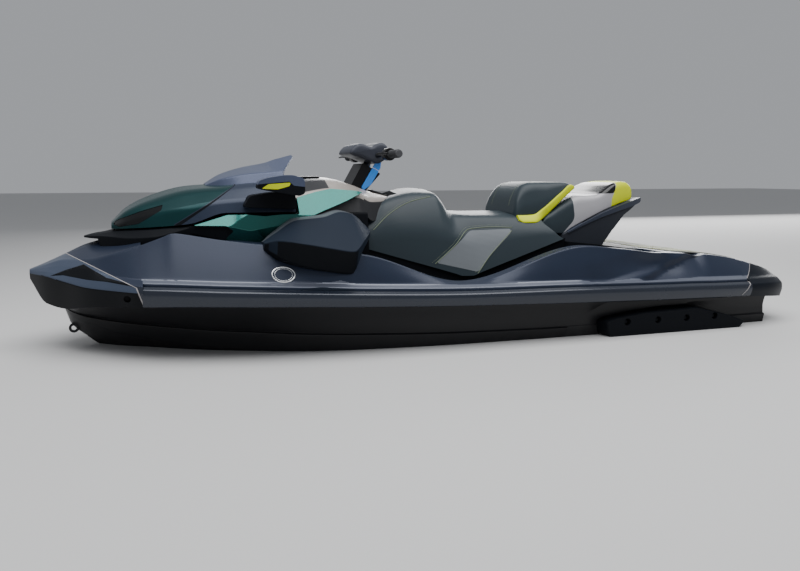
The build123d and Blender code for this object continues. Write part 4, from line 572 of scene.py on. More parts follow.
def loft(name: str, rings: Sequence[np.ndarray], closed: bool = False) -> bpy.types.Object:
    """Mesh through rings of equal count, with flat ends.

    Args:
        name: name of the object.
        rings: for each section its points in millimetres.
        closed: joins the last ring to the first, without ends.

    Returns:
        The object.
    """
    size, count = len(rings[0]), len(rings)
    faces = [
        (r * size + i, r * size + (i + 1) % size, (r + 1) % count * size + (i + 1) % size, (r + 1) % count * size + i)
        for r in range(count if closed else count - 1)
        for i in range(size)
    ]
    if not closed:
        faces += [tuple(range(size)), tuple(range(count * size - 1, (count - 1) * size - 1, -1))]
    return mesh_object(name, np.vstack(rings) * MM, faces)


def ring_at(x: float, section: np.ndarray) -> np.ndarray:
    """Points of a (y, z) section placed at x."""
    return np.column_stack([np.full(len(section), x), section])


def profile(name: str, table: Table, places: np.ndarray, section: Callable[[Row], np.ndarray]) -> bpy.types.Object:
    """Loft along x through sections told by a table.

    Args:
        name: name of the object.
        table: rows whose first column is x.
        places: values of x that get a section.
        section: gives (y, z) points from the rest of a row.

    Returns:
        The object.
    """
    return loft(name, [ring_at(x, section(row)) for x, row in zip(places, rows_at(table, places))])


def prism(
    name: str, outline: Table, axis: str = "y", low: float = -TALL, high: float = TALL
) -> bpy.types.Object:
    """Straight block with the given outline.

    Args:
        name: name of the object.
        outline: (x, z) points for axis "y" or (x, y) points for axis "z".
        axis: direction of the block's length.
        low: one end along the axis.
        high: the other end.

    Returns:
        The object.
    """
    flat = np.array(outline, float)
    order = [0, 2, 1] if axis == "y" else [0, 1, 2]
    return loft(name, [np.column_stack([flat, np.full(len(flat), level)])[:, order] for level in sorted((low, high))])


def read_points(thing: bpy.types.Object, what: str) -> np.ndarray:
    """Places or normals of a mesh's points.

    Args:
        thing: the object.
        what: "co" for places in metres or "normal".

    Returns:
        One row for each point.
    """
    values = np.zeros(len(thing.data.vertices) * 3)
    thing.data.vertices.foreach_get(what, values)
    return values.reshape(-1, 3)


def moved(thing: bpy.types.Object, points: np.ndarray) -> bpy.types.Object:
    """Puts a mesh's points at new places."""
    thing.data.vertices.foreach_set("co", points.ravel())
    thing.data.update()
    return thing


def ridge(thing: bpy.types.Object, line: Table, height: float, above: float, below: float) -> bpy.types.Object:
    """Raises a crease on the flanks along a line seen from the side.

    Args:
        thing: a dense mesh.
        line: (x, z) points, from the bow to the stern.
        height: how far the crease stands out, in millimetres; below zero it is a hollow.
        above: how far above the line it fades out.
        below: how far below the line it fades out.

    Returns:
        The object.
    """
    inner, lowest, highest = 340, 238, 470
    points = read_points(thing, "co") / MM
    best = np.full(len(points), 1e9)
    signed, ends = np.zeros(len(points)), np.ones(len(points))
    total = sum(math.dist(a, b) for a, b in zip(line, line[1:]))
    walked = 0.0
    for a, b in zip(np.array(line, float), np.array(line[1:], float)):
        length = np.linalg.norm(b - a)
        along = (b - a) / length
        offset = points[:, [0, 2]] - a
        t = np.clip(offset @ along, 0, length)
        gap = offset - t[:, None] * along
        distance = np.linalg.norm(gap, axis=1)
        side = np.where(gap @ np.array([along[1], -along[0]]) * -np.sign(along[0]) < 0, 1.0, -1.0)
        closer = distance < best
        best = np.where(closer, distance, best)
        signed = np.where(closer, distance * side, signed)
        share = (walked + t) / total
        ends = np.where(closer, np.clip(np.minimum(share, 1 - share) * 8, 0, 1), ends)
        walked += length
    lift = height * np.clip(1 - best / np.where(signed > 0, above, below), 0, 1) * ends
    lift *= (np.abs(points[:, 1]) > inner) & (points[:, 2] > lowest) & (points[:, 2] < highest)
    return moved(thing, (points + read_points(thing, "normal") * lift[:, None]) * MM)


def frozen(thing: bpy.types.Object) -> bpy.types.Object:
    """Replaces an object's mesh by what its modifiers make of it."""
    bpy.context.view_layer.update()
    graph = bpy.context.evaluated_depsgraph_get()
    mesh = bpy.data.meshes.new_from_object(thing.evaluated_get(graph))
    thing.modifiers.clear()
    old, thing.data = thing.data, mesh
    bpy.data.meshes.remove(old)
    return thing


def discard(*things: bpy.types.Object) -> None:
    """Removes objects that were only needed for their shape."""
    for thing in things:
        bpy.data.objects.remove(thing)


def carve(thing: bpy.types.Object, how: Cut, *tools: bpy.types.Object) -> bpy.types.Object:
    """Shapes one closed mesh with others, which are used up.

    Args:
        thing: the mesh that is shaped.
        how: what is kept.
        tools: the meshes that shape it, one after another.

    Returns:
        The shaped object.
    """
    for tool in tools:
        modifier = thing.modifiers.new("carve", "BOOLEAN")
        modifier.object, modifier.operation, modifier.solver = tool, how.value, "EXACT"
        frozen(thing)
        discard(tool)
    return thing


def duplicate(thing: bpy.types.Object, name: str) -> bpy.types.Object:
    """Separate copy of an object and its mesh."""
    return linked(name, thing.data.copy())


def swelled(thing: bpy.types.Object, distance: float) -> bpy.types.Object:
    """Moves all points of a mesh outwards along their normals, by millimetres."""
    return moved(thing, read_points(thing, "co") + read_points(thing, "normal") * distance * MM)


def other_side(thing: bpy.types.Object, name: str) -> bpy.types.Object:
    """Copy of an object mirrored to starboard, with its faces still outwards."""
    made = duplicate(thing, name)
    moved(made, read_points(made, "co") * np.array([1.0, -1.0, 1.0]))
    made.data.flip_normals()
    return made


def pair(port: bpy.types.Object) -> tuple[bpy.types.Object, bpy.types.Object]:
    """A port piece and its mirror image."""
    return port, other_side(port, port.name.replace("port", "starboard"))


def both_sides(path: np.ndarray) -> list[np.ndarray]:
    """A port path and its mirror image."""
    return [path * (1, side, 1) for side, _ in SIDES]


def joined(name: str, things: Sequence[bpy.types.Object]) -> bpy.types.Object:
    """One object from several meshes, which it replaces.

    Args:
        name: name of the new object.
        things: objects whose meshes it takes.

    Returns:
        The object.
    """
    bm = bmesh.new()
    for thing in things:
        bm.from_mesh(thing.data)
    discard(*things)
    return settled(name, bm)


def tube(name: str, path: Table, radius: float, sides: int = 10, closed: bool = False) -> bpy.types.Object:
    """Round bar along a path.

    Args:
        name: name of the object.
        path: points in millimetres.
        radius: in millimetres.
        sides: faces round it.
        closed: joins the last point to the first.

    Returns:
        The object.
    """
    p = np.array(path, float)
    ahead = np.roll(p, -1, 0) - np.roll(p, 1, 0)
    if not closed:
        ahead[0], ahead[-1] = p[1] - p[0], p[-1] - p[-2]
    ahead /= np.linalg.norm(ahead, axis=1)[:, None]
    up = np.array([0.0, 0.0, 1.0]) if abs(ahead[0][2]) < 0.9 else np.array([0.0, 1.0, 0.0])
    turns = np.arange(sides)[:, None] * 2 * math.pi / sides
    rings = []
    for place, direction in zip(p, ahead):
        side = np.cross(direction, up)
        side /= np.linalg.norm(side)
        up = np.cross(side, direction)
        rings.append(place + radius * (np.cos(turns) * side + np.sin(turns) * up))
    return loft(name, rings, closed)


def smooth_path(points: Table, pieces: int = 8) -> np.ndarray:
    """Smooth curve through points.

    Args:
        points: places that the curve passes.
        pieces: stretches between two of them.

    Returns:
        Points along the curve.
    """
    p = np.array(points, float)
    t = np.concatenate([[0.0], np.cumsum(np.linalg.norm(np.diff(p, axis=0), axis=1))])
    return monotone(t, p, np.linspace(0.0, t[-1], pieces * (len(p) - 1) + 1))


def pillow(name: str, outline: Table, half: float, edge: float, crown: float) -> bpy.types.Object:
    """Stuffed block with a side outline, rounded over towards crowned sides and swollen between them.

    Args:
        name: name of the object.
        outline: (x, z) points round the side view.
        half: half width.
        edge: radius of the rounding.
        crown: how far the sides and the middle swell.

    Returns:
        The object, symmetric about the centreline.
    """
    p = np.array(outline, float)
    ahead = np.roll(p, -1, 0) - np.roll(p, 1, 0)
    normal = np.column_stack([ahead[:, 1], -ahead[:, 0]])
    normal /= np.linalg.norm(normal, axis=1)[:, None] + 1e-9
    inward = -normal * np.sign(np.sum(p[:, 0] * np.roll(p[:, 1], -1) - np.roll(p[:, 0], -1) * p[:, 1]))
    centre, rim = p.mean(axis=0), p + inward * edge
    levels = [(centre + (rim - centre) * s, half + crown * (1 - s**2)) for s in (0.12, 0.4, 0.7, 0.9)]
    for turn in np.linspace(math.pi / 2, 0.0, 6):
        levels.append((p + inward * edge * (1 - math.cos(turn)), half - edge * (1 - math.sin(turn))))
    levels += [(p - inward * 0.6 * crown * (1 - s**2), (half - edge) * s) for s in (0.85, 0.6, 0.3, 0.0)]
    port = [np.column_stack([flat[:, 0], np.full(len(p), y), flat[:, 1]]) for flat, y in levels]
    return loft(name, port + [ring * np.array([1.0, -1.0, 1.0]) for ring in port[-2::-1]])


def bevelled(thing: bpy.types.Object, width: float, segments: int = 3, angle: float = 28.0) -> bpy.types.Object:
    """Rounds the edges of a mesh.

    Args:
        thing: the object.
        width: size of the rounding in millimetres.
        segments: pieces in the rounding.
        angle: edges blunter than this many degrees are left.

    Returns:
        The object.
    """
    modifier = thing.modifiers.new("round", "BEVEL")
    modifier.width, modifier.segments = width * MM, segments
    modifier.limit_method, modifier.angle_limit = "ANGLE", math.radians(angle)
    return frozen(thing)


def dress(thing: bpy.types.Object, finish: Finish, body: str, angle: float, *nodes: str) -> bpy.types.Object:
    """Shades a piece, gives it its finish and ties it to the solids.

    Args:
        thing: the piece.
        finish: its finish.
        body: body that it moves with.
        angle: edges sharper than this many degrees stay sharp.
        nodes: solids that it stands for.

    Returns:
        The piece.
    """
    mesh = thing.data
    mesh.materials.clear()
    mesh.materials.append(finish.material())
    mesh.polygons.foreach_set("material_index", np.zeros(len(mesh.polygons), np.int32))
    mesh.shade_smooth()
    mesh.set_sharp_from_angle(angle=math.radians(angle))
    modifier = thing.modifiers.new("lead", "WEIGHTED_NORMAL")
    modifier.keep_sharp, modifier.weight = True, 60
    frozen(thing)
    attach(thing, body)
    if nodes:
        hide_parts(*nodes)
    LOG.info("%s: %d faces", thing.name, len(thing.data.polygons))
    return thing


def dress_pair(things: Sequence[bpy.types.Object], finish: Finish, angle: float, node: str) -> None:
    """Dresses a port piece and its mirror image, which stand for the solids `node`_port and `node`_starboard."""
    for thing, (_, label) in zip(things, SIDES):
        dress(thing, finish, "boat", angle, f"{node}_{label}")


def paint(thing: bpy.types.Object, finish: Finish, test: Callable[[Vector, Vector], bool]) -> None:
    """Gives a second finish to faces of a dressed piece.

    Args:
        thing: the piece.
        finish: the second finish.
        test: takes a face's centre in millimetres and its normal.
    """
    mesh = thing.data
    mesh.materials.append(finish.material())
    for face in mesh.polygons:
        if test(face.center / MM, face.normal):
            face.material_index = len(mesh.materials) - 1


def surface_point(thing: bpy.types.Object, start: Row, ahead: Row, lift: float = 0.0) -> np.ndarray | None:
    """Where a ray meets a piece.

    Args:
        thing: the piece, at the origin.
        start: start of the ray in millimetres.
        ahead: direction of the ray.
        lift: distance above the surface.

    Returns:
        The place in millimetres, or nothing where the ray misses.
    """
    hit, place, normal, _ = thing.ray_cast(Vector(start) * MM, Vector(ahead).normalized())
    return np.array(place / MM + normal * lift) if hit else None


def side_trace(thing: bpy.types.Object, line: Table, lift: float) -> np.ndarray:
    """Line seen from port, laid on a piece's port surface.

    Args:
        thing: the piece.
        line: (x, z) points.
        lift: distance above the surface.

    Returns:
        Points on the surface, without those that miss it.
    """
    found = [surface_point(thing, (x, TALL, z), (0.0, -1.0, 0.0), lift) for x, z in smooth_path(line, 10)]
    return np.array([place for place in found if place is not None])


def patch(
    name: str, base: bpy.types.Object, outline: Table, proud: float, round_by: float,
    low: float = -TALL, high: float = TALL,
) -> bpy.types.Object:
    """Thin inlay on a piece, with an outline seen from the side.

    Args:
        name: name of the inlay.
        base: the piece it lies on.
        outline: (x, z) points.
        proud: how far it stands out, in millimetres.
        round_by: rounding of the outline's corners.
        low: lowest y of the stretch it covers.
        high: highest y.

    Returns:
        The inlay.
    """
    shell = swelled(duplicate(base, name), proud)
    return carve(shell, Cut.INSIDE, prism("inlay_block", rounded_loop(outline, round_by), "y", low, high))


def repeated(
    name: str, path: Table, part: bpy.types.Object, count: int, finish: Finish,
    follow: bool = True, jitter: float = 0.0, seed: int = 7,
) -> bpy.types.Object:
    """Copies of a part along a path, as one mesh.

    Args:
        name: name of the object.
        path: points in millimetres.
        part: the part, around the origin; it is used up.
        count: number of copies.
        finish: finish of the copies.
        follow: turns the part's Z with the path.
        jitter: how much smaller a copy may be.
        seed: seed of the sizes.

    Returns:
        The object.
    """
    curve = bpy.data.curves.new("copy_path", "CURVE")
    curve.dimensions = "3D"
    line = curve.splines.new("POLY")
    line.points.add(len(path) - 1)
    for point, place in zip(line.points, path):
        point.co = (*(np.array(place) * MM), 1.0)
    guide = linked("copy_path", curve)
    thing = linked(name, bpy.data.meshes.new(name))
    modifier = thing.modifiers.new("copies", "NODES")
    modifier.node_group = COPIES.tree()
    values = {
        "Path": guide, "Part": part, "Count": count, "Follow": follow, "Jitter": jitter, "Seed": seed,
        "Material": finish.material(),
    }
    for item in modifier.node_group.interface.items_tree:
        if item.in_out == "INPUT" and item.name in values:
            modifier[item.identifier] = values[item.name]
    frozen(thing)
    discard(guide, part)
    return thing


def stitches(path: np.ndarray, count: int) -> bpy.types.Object:
    """Row of stitches along a path.

    Args:
        path: points in millimetres.
        count: number of stitches.

    Returns:
        The row.
    """
    bm = bmesh.new()
    bmesh.ops.create_uvsphere(bm, u_segments=8, v_segments=4, radius=1.0)
    for vertex in bm.verts:
        vertex.co = Vector([c * r * MM for c, r in zip(vertex.co, (0.7, 0.7, 2.6))])
    return repeated("stitch_row", path, settled("stitch", bm), count, Finishes.THREAD, True, 0.15, 11)


def block(name: str, low: Row, high: Row, round_by: float = 0.0) -> bpy.types.Object:
    """Box between two corners in millimetres, with rounded edges where asked."""
    outline = ((low[0], low[2]), (high[0], low[2]), (high[0], high[2]), (low[0], high[2]))
    made = prism(name, outline, "y", low[1], high[1])
    return bevelled(made, round_by) if round_by else made


def softened(node: str, name: str, width: float) -> bpy.types.Object:
    """Copy of a solid with its edges eased.

    Args:
        node: the solid's name.
        name: name of the copy.
        width: size of the easing in millimetres.

    Returns:
        The copy.
    """
    bm = bmesh.new()
    bm.from_mesh(bpy.data.objects[node].data)
    bmesh.ops.remove_doubles(bm, verts=bm.verts, dist=1e-5)
    bmesh.ops.dissolve_limit(bm, angle_limit=math.radians(1.0), verts=bm.verts, edges=bm.edges)
    bmesh.ops.recalc_face_normals(bm, faces=bm.faces)
    made = settled(name, bm)
    return bevelled(made, width, 2, 35.0) if width else made


# x, half width, rail bottom z, groove z, shoulder y and z, dent, lip
SHEER: Table = (
    (1300, 452, 211, 289, 288, 434, 0, 26),
    (1218, 487, 212.5, 288, 312, 465, 0, 39),
    (1175, 503, 213, 287, 325, 481, 0, 44),
    (1090, 531, 213, 284, 360, 470, 0, 28),
    (1019, 552, 212, 281, 388, 458, 0, 12),
    (940, 569, 210, 278, 410, 447, 0, 3),
    (870, 581, 208, 275, 430, 438, 0, 0),
    (700, 600, 202, 267, 475, 424, 0, 0),
    (454, 617, 192, 254, 520, 390, 0, 0),
    (22, 627.5, 176, 237, 532, 263, 0, 0),
    (-537, 627.5, 160, 229, 525, 395, 0, 0),
    (-736, 624, 155, 224, 515, 377, 12, 0),
    (-951, 618, 149, 219, 500, 352, 34, 0),
    (-1090, 612, 146, 216, 490, 344, 4, 0),
    (-1200, 606, 143, 212, 482, 336, 0, 0),
    (-1410, 590, 138, 207, 462, 306, 0, 0),
)
STERN: Table = (
    (-1533, 570, 130, 204, 448, 277, 0, 0),
    (-1640, 528, 120, 198, 412, 248, 0, 0),
    (-1700, 472, 112, 186, 360, 226, 0, 0),
    (-1725, 380, 116, 172, 290, 200, 0, 0),
)
FORE_ROW: Row = (1400, 380, 207, 298, 252, 400, 0, 10)
# x, centre z, then y and z of shoulder, foot, upper crease, lower crease, lower edge
BOW: Table = (
    (1300, 450, 288, 434, 390, 311, 440, 293, 452, 267, 438, 211),
    (1400, 446, 252, 400, 318, 320, 356, 303, 372, 270, 356, 207),
    (1500, 424, 180, 372, 225, 342, 268, 305, 288, 276, 268, 196),
    (1589, 384, 95, 368, 130, 345, 168, 315, 190, 292, 165, 180),
    (1664, 350, 48, 345, 70, 335, 92, 322, 108, 308, 82, 194),
    (1725, 325, 8, 322, 12, 320, 15, 316, 18, 310, 10, 286),
)
AFT_OF_BOW: Row = (1150, 470, 335, 478, 450, 308, 500, 296, 512, 262, 498, 214)
# x, keel z, chine y and z, strip z
HULL: Table = (
    (1600, 148, 20, 160, 168),
    (1589, 106, 34, 142, 158),
    (1520, 34, 84, 102, 134),
    (1500, 16, 95, 97, 130),
    (1400, -56, 150, 68, 116),
    (1300, -112, 188, 48, 104),
    (1150, -168, 264, 26, 94),
    (1019, -196, 320, 12, 86),
    (870, -216, 372, 2, 80),
    (700, -228, 430, -12, 72),
    (454, -238, 476, -34, 63),
    (22, -252, 508, -58, 49),
    (-537, -270, 516, -74, 41),
    (-951, -282, 514, -82, 40),
    (-1410, -293, 506, -88, 39),
    (-1550, -296, 502, -90, 39),
)
PLATFORM_PLAN: Table = ((-1410, 552), (-1470, 500), (-1565, 400), (-1612, 350), (-1650, 290))


@dataclass
class Topsides:
    """Hull, deck, bow and stern bumpers and side rails."""

    sheer: Table = (FORE_ROW, *SHEER, *STERN)
    bow: Table = (AFT_OF_BOW, *BOW)
    step: float = 26.0
    recess: Table = ((-448, 44), (-640, 146), (-1560, 128), (-1560, -130), (-448, -130))
    tunnel: float = 125.0
    intake: Table = ((-1060, -45), (-1060, -205), (-985, -300), (-985, -700), (-640, -700), (-640, -262), (-900, -75))
    # outline of the dark patch on the flanks, painted shade of a shallow scoop, as (x, z) points
    scoop_shade: Table = ((778, 266), (658, 278), (495, 262), (658, 257))
    rail_seam: Table = ((-1417, 214), (-1412, 214), (-1353, 148), (-1359, 148))
    tow_hole: Row = (1354, 242, 13)
    seam_proud: float = 0.8
    # the seam's planes: x at the origin, loss for each y, gain for each z
    seam_high: tuple[float, float, float] = (934.1, 0.231, 1.6937)
    seam_low: tuple[float, float] = (1221.9, 0.34)
    ring: tuple[float, float, float, float] = (783, 324, 43, 28)
    # facet of the bow that lies in shadow, painted dark, as (x, z) points
    shade_facet: Table = (
        (1638, 309), (1579, 333), (1510, 357), (1425, 315), (1333, 297), (1333, 291), (1425, 302), (1500, 305),
        (1589, 314),
    )
    well_profile: Table = (
        (470, 330), (200, 146), (-840, 146), (-960, 300), (-1010, 345), (-1010, 600), (470, 600),
    )
    well_plan: Table = ((500, 288), (500, 488), (-1020, 462), (-1020, 308), (-860, 288))
    spine: Table = ((372, 352), (-100, 212), (-566, 350), (-600, 366))
    tower: Table = (
        (1300, 150, 472), (1204, 190, 490), (1094, 250, 503), (965, 292, 546), (690, 296, 546), (372, 270, 546),
    )
    bin_box: tuple[float, float, float, float] = (760, 1210, 165, 240)
    creases: tuple = (
        (((860, 424), (829, 416), (740, 388), (663, 355), (515, 290)), 5, 60, 45),
        (((-500, 232), (-640, 250), (-831, 286), (-980, 306)), -9, 22, 80),
        (((-780, 222), (-870, 240), (-1000, 285), (-1112, 325), (-1220, 338)), -20, 90, 20),
    )

    def deck_section(self, row: Row) -> np.ndarray:
        """Section of the deck from a row of the sheer."""
        half, low, groove, shoulder_y, shoulder_z, dent, lip = row
        foot_y, foot_z, top = half - 62, groove + 22, shoulder_z - lip
        points = (
            (half - 60, low), (half - 60, groove), (half - 34, groove), (half - 36, groove + 12), (foot_y, foot_z),
            ((foot_y + shoulder_y) / 2 + 3 - dent, (foot_z + shoulder_z) / 2), (shoulder_y, shoulder_z),
            (shoulder_y - 12 - 0.8 * lip, top), (0, top + 4),
        )
        return whole(points, (0, 0, 2, 3, 9, 60, 6, 5, 0), 5, 9)

    def stern_section(self, row: Row) -> np.ndarray:
        """Section of the stern from a row of the sheer."""
        half, low, groove, shoulder_y, shoulder_z = row[:5]
        points = (
            (half - 14, low), (half, low + 0.5 * (groove - low)), (half - 4, groove - 10), (half - 34, groove + 12),
            (half - 62, groove + 22), (shoulder_y, shoulder_z), (0, shoulder_z + 3),
        )
        return whole(points, (0, 12, 6, 8, 12, 16, 0))

    def bow_section(self, row: Row) -> np.ndarray:
        """Section of the bow from a row of its table."""
        ease = 0.25 + 0.75 * min(1.0, row[9] / 250)
        points = (*np.reshape(row[1:], (5, 2))[::-1], (0, row[0]))
        return whole(points, [s * ease for s in (0, 8, 4, 5, 12, 0)], 4, 4)

    def rail_section(self, row: Row) -> np.ndarray:
        """Section of the port rail from a row of the sheer."""
        half, low, groove = row[:3]
        points = (
            (half - 60, low), (half - 14, low), (half, low + 0.5 * (groove - low)), (half - 4, groove - 10),
            (half - 26, groove), (half - 60, groove),
        )
        return rounded_loop(points, (1, 8, 16, 6, 5, 1))

    def hull_rows(self, places: np.ndarray) -> np.ndarray:
        """For each place along the hull keel z, chine y and z, strip z, top y and z."""
        sheer = rows_at((*SHEER, *STERN), np.minimum(places, 1300))
        bow = rows_at(BOW, np.maximum(places, 1300))
        ahead = places > 1300
        top_y = np.where(ahead, bow[:, 9] - 58, sheer[:, 0] - 72)
        return np.column_stack([rows_at(HULL, places), top_y, np.where(ahead, bow[:, 10], sheer[:, 1])])

    def hull_section(self, row: Row) -> np.ndarray:
        """Section of the hull from a row of `hull_rows`."""
        keel, chine_y, chine_z, strip_z, top_y, top_z = row
        strip_y, ledge = chine_y + min(24.0, 0.3 * chine_y), min(10.0, 0.1 * chine_y)
        top_y = max(top_y, strip_y)
        middle = (0.5 * (top_y + strip_y - ledge) - min(8.0, 0.02 * chine_y), 0.45 * strip_z + 0.55 * top_z)
        points = (
            (0, keel), (0.5 * chine_y, 0.5 * (keel + chine_z) - 3), (chine_y, chine_z), (strip_y, strip_z),
            (strip_y - ledge, strip_z + ledge / 2), middle, (top_y, top_z), (0, top_z),
        )
        return whole(points, (0, 60, 7, 3, 4, 60, 0, 0))

    def build_hull(self) -> None:
        """Hull with its recesses, jet tunnel and intake."""
        places = stations(-1550, 1600, self.step, ((1300, 1600, 15),))
        hull = loft("hull_body", [ring_at(x, self.hull_section(r)) for x, r in zip(places, self.hull_rows(places))])
        recess, r = rounded_loop(self.recess, 24), self.tunnel
        arch = [(r * math.cos(a), r * math.sin(a) - r) for a in np.linspace(0, math.pi, 25)] + [(-r, -700), (r, -700)]
        carve(
            hull, Cut.AWAY, prism("recess", recess, "y", 532), prism("recess", recess, "y", -TALL, -532),
            block("liner_room", (-960, -500, 118), (500, 500, 700)),
            loft("tunnel", [ring_at(x, np.array(arch)) for x in (-1600, -1060)]),
            prism("intake", self.intake, "y", -80, 80),
        )
        dress(hull, Finishes.HULL, "boat", 26, "hull")

    def build_deck(self) -> None:
        """Deck in three lofts, with footwells, seat spine and storage opening."""
        bow = profile("deck_bow", self.bow, stations(1296, 1600, 14), self.bow_section)
        carve(bow, Cut.INSIDE, self.seam_form(900))
        main = profile("deck_main", self.sheer, stations(-1412, 1300, 13), self.deck_section)
        for line, height, above, below in self.creases:
            ridge(main, line, height, above, below)
        tower = profile(
            "tower", self.tower, stations(372, 1300, self.step),
            lambda row: whole(((row[0] + 26, 345), row, (0, row[1])), (0, 10, 0)),
        )
        carve(main, Cut.TOGETHER, tower, block("liner", (-960, -500, 118), (500, 500, 198)))
        side_view = rounded_loop(self.well_profile, (40, 70, 60, 40, 20, 0, 0), 6)
        plan = rounded_loop(self.well_plan, (20, 40, 40, 20, 30), 6)
        for side, _ in SIDES:
            well = prism("well", side_view, "y", 200 * side, 520 * side)
            carve(main, Cut.AWAY, carve(well, Cut.INSIDE, prism("well_plan", plan * (1, side), "z", 100, 650)))
        spine = prism("spine", (*self.spine, (-600, TALL), (372, TALL)), "y", -289, 289)
        carve(main, Cut.AWAY, spine, self.bin_room())
        stern = profile("deck_stern", self.sheer, stations(-1700, -1408, 18), self.stern_section)
        carve(stern, Cut.INSIDE, prism("platform", both_edges(((-1408, 556), *PLATFORM_PLAN)), "z", 0, 700))
        # painted shade: a dark inlay where a shallow scoop in the flank lies in shadow
        scoop_shade = patch("flank_scoops", main, self.scoop_shade, 0.5, 30)
        deck = dress(joined("deck_top", (bow, main, stern)), Finishes.DECK, "boat", 30, "deck")
        dress(scoop_shade, Finishes.POD, "boat", 30)
        self.paint_deck(deck)
        self.build_rings(deck)

    def bin_room(self) -> bpy.types.Object:
        """Room of the storage bin under the hood."""
        rear, front, half, bottom = self.bin_box
        return block("bin_room", (rear, -half, bottom), (front, half, TALL))

    def paint_deck(self, deck: bpy.types.Object) -> None:
        """Painted shade under hood and seats, and a painted highlight on the pale lip of the deck."""
        tower, sheer = np.array(self.tower)[::-1].T, np.array(self.sheer)[::-1].T

        def on_shaded_tower(c: Vector, n: Vector) -> bool:
            """Whether a face lies on the block under hood and console, which is painted black as shade."""
            return 365 < c.x < 1302 and abs(c.y) < np.interp(c.x, tower[0], tower[1]) + 16

        def on_lit_lip(c: Vector, n: Vector) -> bool:
            """Whether a face lies on the lip, which is painted pale as a highlight."""
            above = c.x < 1300 and c.z > np.interp(c.x, sheer[0], sheer[3]) + 8
            return above and abs(c.y) > np.interp(c.x, sheer[0], sheer[1]) - 61

        # painted shade: the block under hood and console, black where it lies in shadow between pods and seat
        paint(deck, Finishes.BLACK, on_shaded_tower)
        # painted shade: walls of the footwells and seat spine under the seats, black
        paint(deck, Finishes.BLACK, lambda c, n: abs(c.y) < 292 and -1010 < c.x < 372 and c.z > 120)
        paint(deck, Finishes.RAIL, lambda c, n: c.x > 1297 and c.z < 290)
        # painted highlight: the lip along the rail, pale where it faces up
        paint(deck, Finishes.DECK_LIP_HIGHLIGHT, on_lit_lip)

    def build_rings(self, deck: bpy.types.Object) -> None:
        """Oval rings on the deck's flanks."""
        x, z, long, high = self.ring
        rings = []
        for share, radius in ((1.0, 3.4), (0.78, 1.3)):
            spots = [
                (x + share * long * math.cos(a), TALL, z + share * high * math.sin(a))
                for a in np.arange(48) * math.pi / 24
            ]
            path = np.array([surface_point(deck, spot, (0, -1, 0)) for spot in spots])
            rings += [tube("ring", line, radius, 8, True) for line in both_sides(path)]
        dress(joined("flank_rings", rings), Finishes.CHROME, "boat", 60, "oval_rings")

    def build_bumpers(self) -> None:
        """Bow and stern bumpers, with the pale seams that border them."""
        bow = profile("bow_cap", self.bow, stations(1300, 1725, 12), self.bow_section)
        bow_strip = swelled(duplicate(bow, "bow_seam"), self.seam_proud)
        x, z, radius = self.tow_hole
        hole = tube("tow_hole", ((x, 600, z), (x, 380, z)), radius, 20)
        carve(bow, Cut.AWAY, self.seam_form(900), hole)
        carve(bow_strip, Cut.INSIDE, self.seam_form(0, 6.5))
        dress(bow, Finishes.BOW, "boat", 24, "bow_bumper")
        # painted shade: a dark patch on the bow's facet that lies in shadow
        dress(patch("bow_facets", bow, self.shade_facet, 0.4, 0.1), Finishes.BOW, "boat", 24)
        lines = np.array(self.bow).T
        # upper faces of the bow cap above the lower crease: blue-grey with a painted highlight
        paint(bow, Finishes.BOW_TOP_HIGHLIGHT, lambda c, n: c.z > np.interp(c.x, lines[0], lines[9] - 1))
        stern = profile("stern_cap", self.sheer, stations(-1725, -1410, 14, ((-1725, -1690, 5),)), self.stern_section)
        stern_strip = swelled(duplicate(stern, "stern_seam"), self.seam_proud)
        carve(stern, Cut.AWAY, prism("platform", both_edges(PLATFORM_PLAN), "z", 0, 700))
        band = np.array([*PLATFORM_PLAN, *((x + 2.4, y - 0.96) for x, y in reversed(PLATFORM_PLAN))])
        port, starboard = (prism("band", line, "z", 100, 700) for line in (band, band * (1, -1)))
        carve(stern_strip, Cut.INSIDE, carve(port, Cut.TOGETHER, starboard))
        dress(stern, Finishes.STERN, "boat", 24, "stern_bumper")
        for strip in (bow_strip, stern_strip):
            dress(strip, Finishes.SEAM, "boat", 32)

    def seam_form(self, back: float, width: float = 0.0) -> bpy.types.Object:
        """Room behind the seam between deck and bow, or a thin band along it.

        Args:
            back: x where the room begins, for the room.
            width: width of the band, for the band.

        Returns:
            The closed form, on both sides.
        """
        (high_x, sweep, high_rise), (low_x, low_rise) = self.seam_high, self.seam_low
        rings = []
        for y in (-640.0, 0.0, 640.0):
            start = high_x - sweep * abs(y)
            turn = (low_x - start) / (high_rise - low_rise)
            line = [(low_x + low_rise * z, z) for z in (120.0, turn)] + [(start + high_rise * 700, 700.0)]
            near, far = (
                [(x + way * share * width, y, z) for (x, z), share in zip(line, (0.3, 0.4, 0.5))] for way in (-1, 1)
            )
            if not width:
                far = [(back, y, z) for z in (120.0, 400.0, 700.0)]
            rings.append(np.array(near + far[::-1]))
        return loft("seam_room", rings)

    def build_rails(self) -> None:
        """Side rails with a fine line under their lip."""
        rails = pair(profile("rail_port", self.sheer, stations(-1410, 1300, self.step), self.rail_section))
        strips = [patch("strip", rail, self.rail_seam, self.seam_proud, 0.1) for rail in rails]
        dress(joined("rail_seams", strips), Finishes.SEAM, "boat", 32)
        dress_pair(rails, Finishes.RAIL, 24, "side_rail")

    def build(self) -> None:
        """All of it."""
        self.build_hull()
        self.build_deck()
        self.build_bumpers()
        self.build_rails()


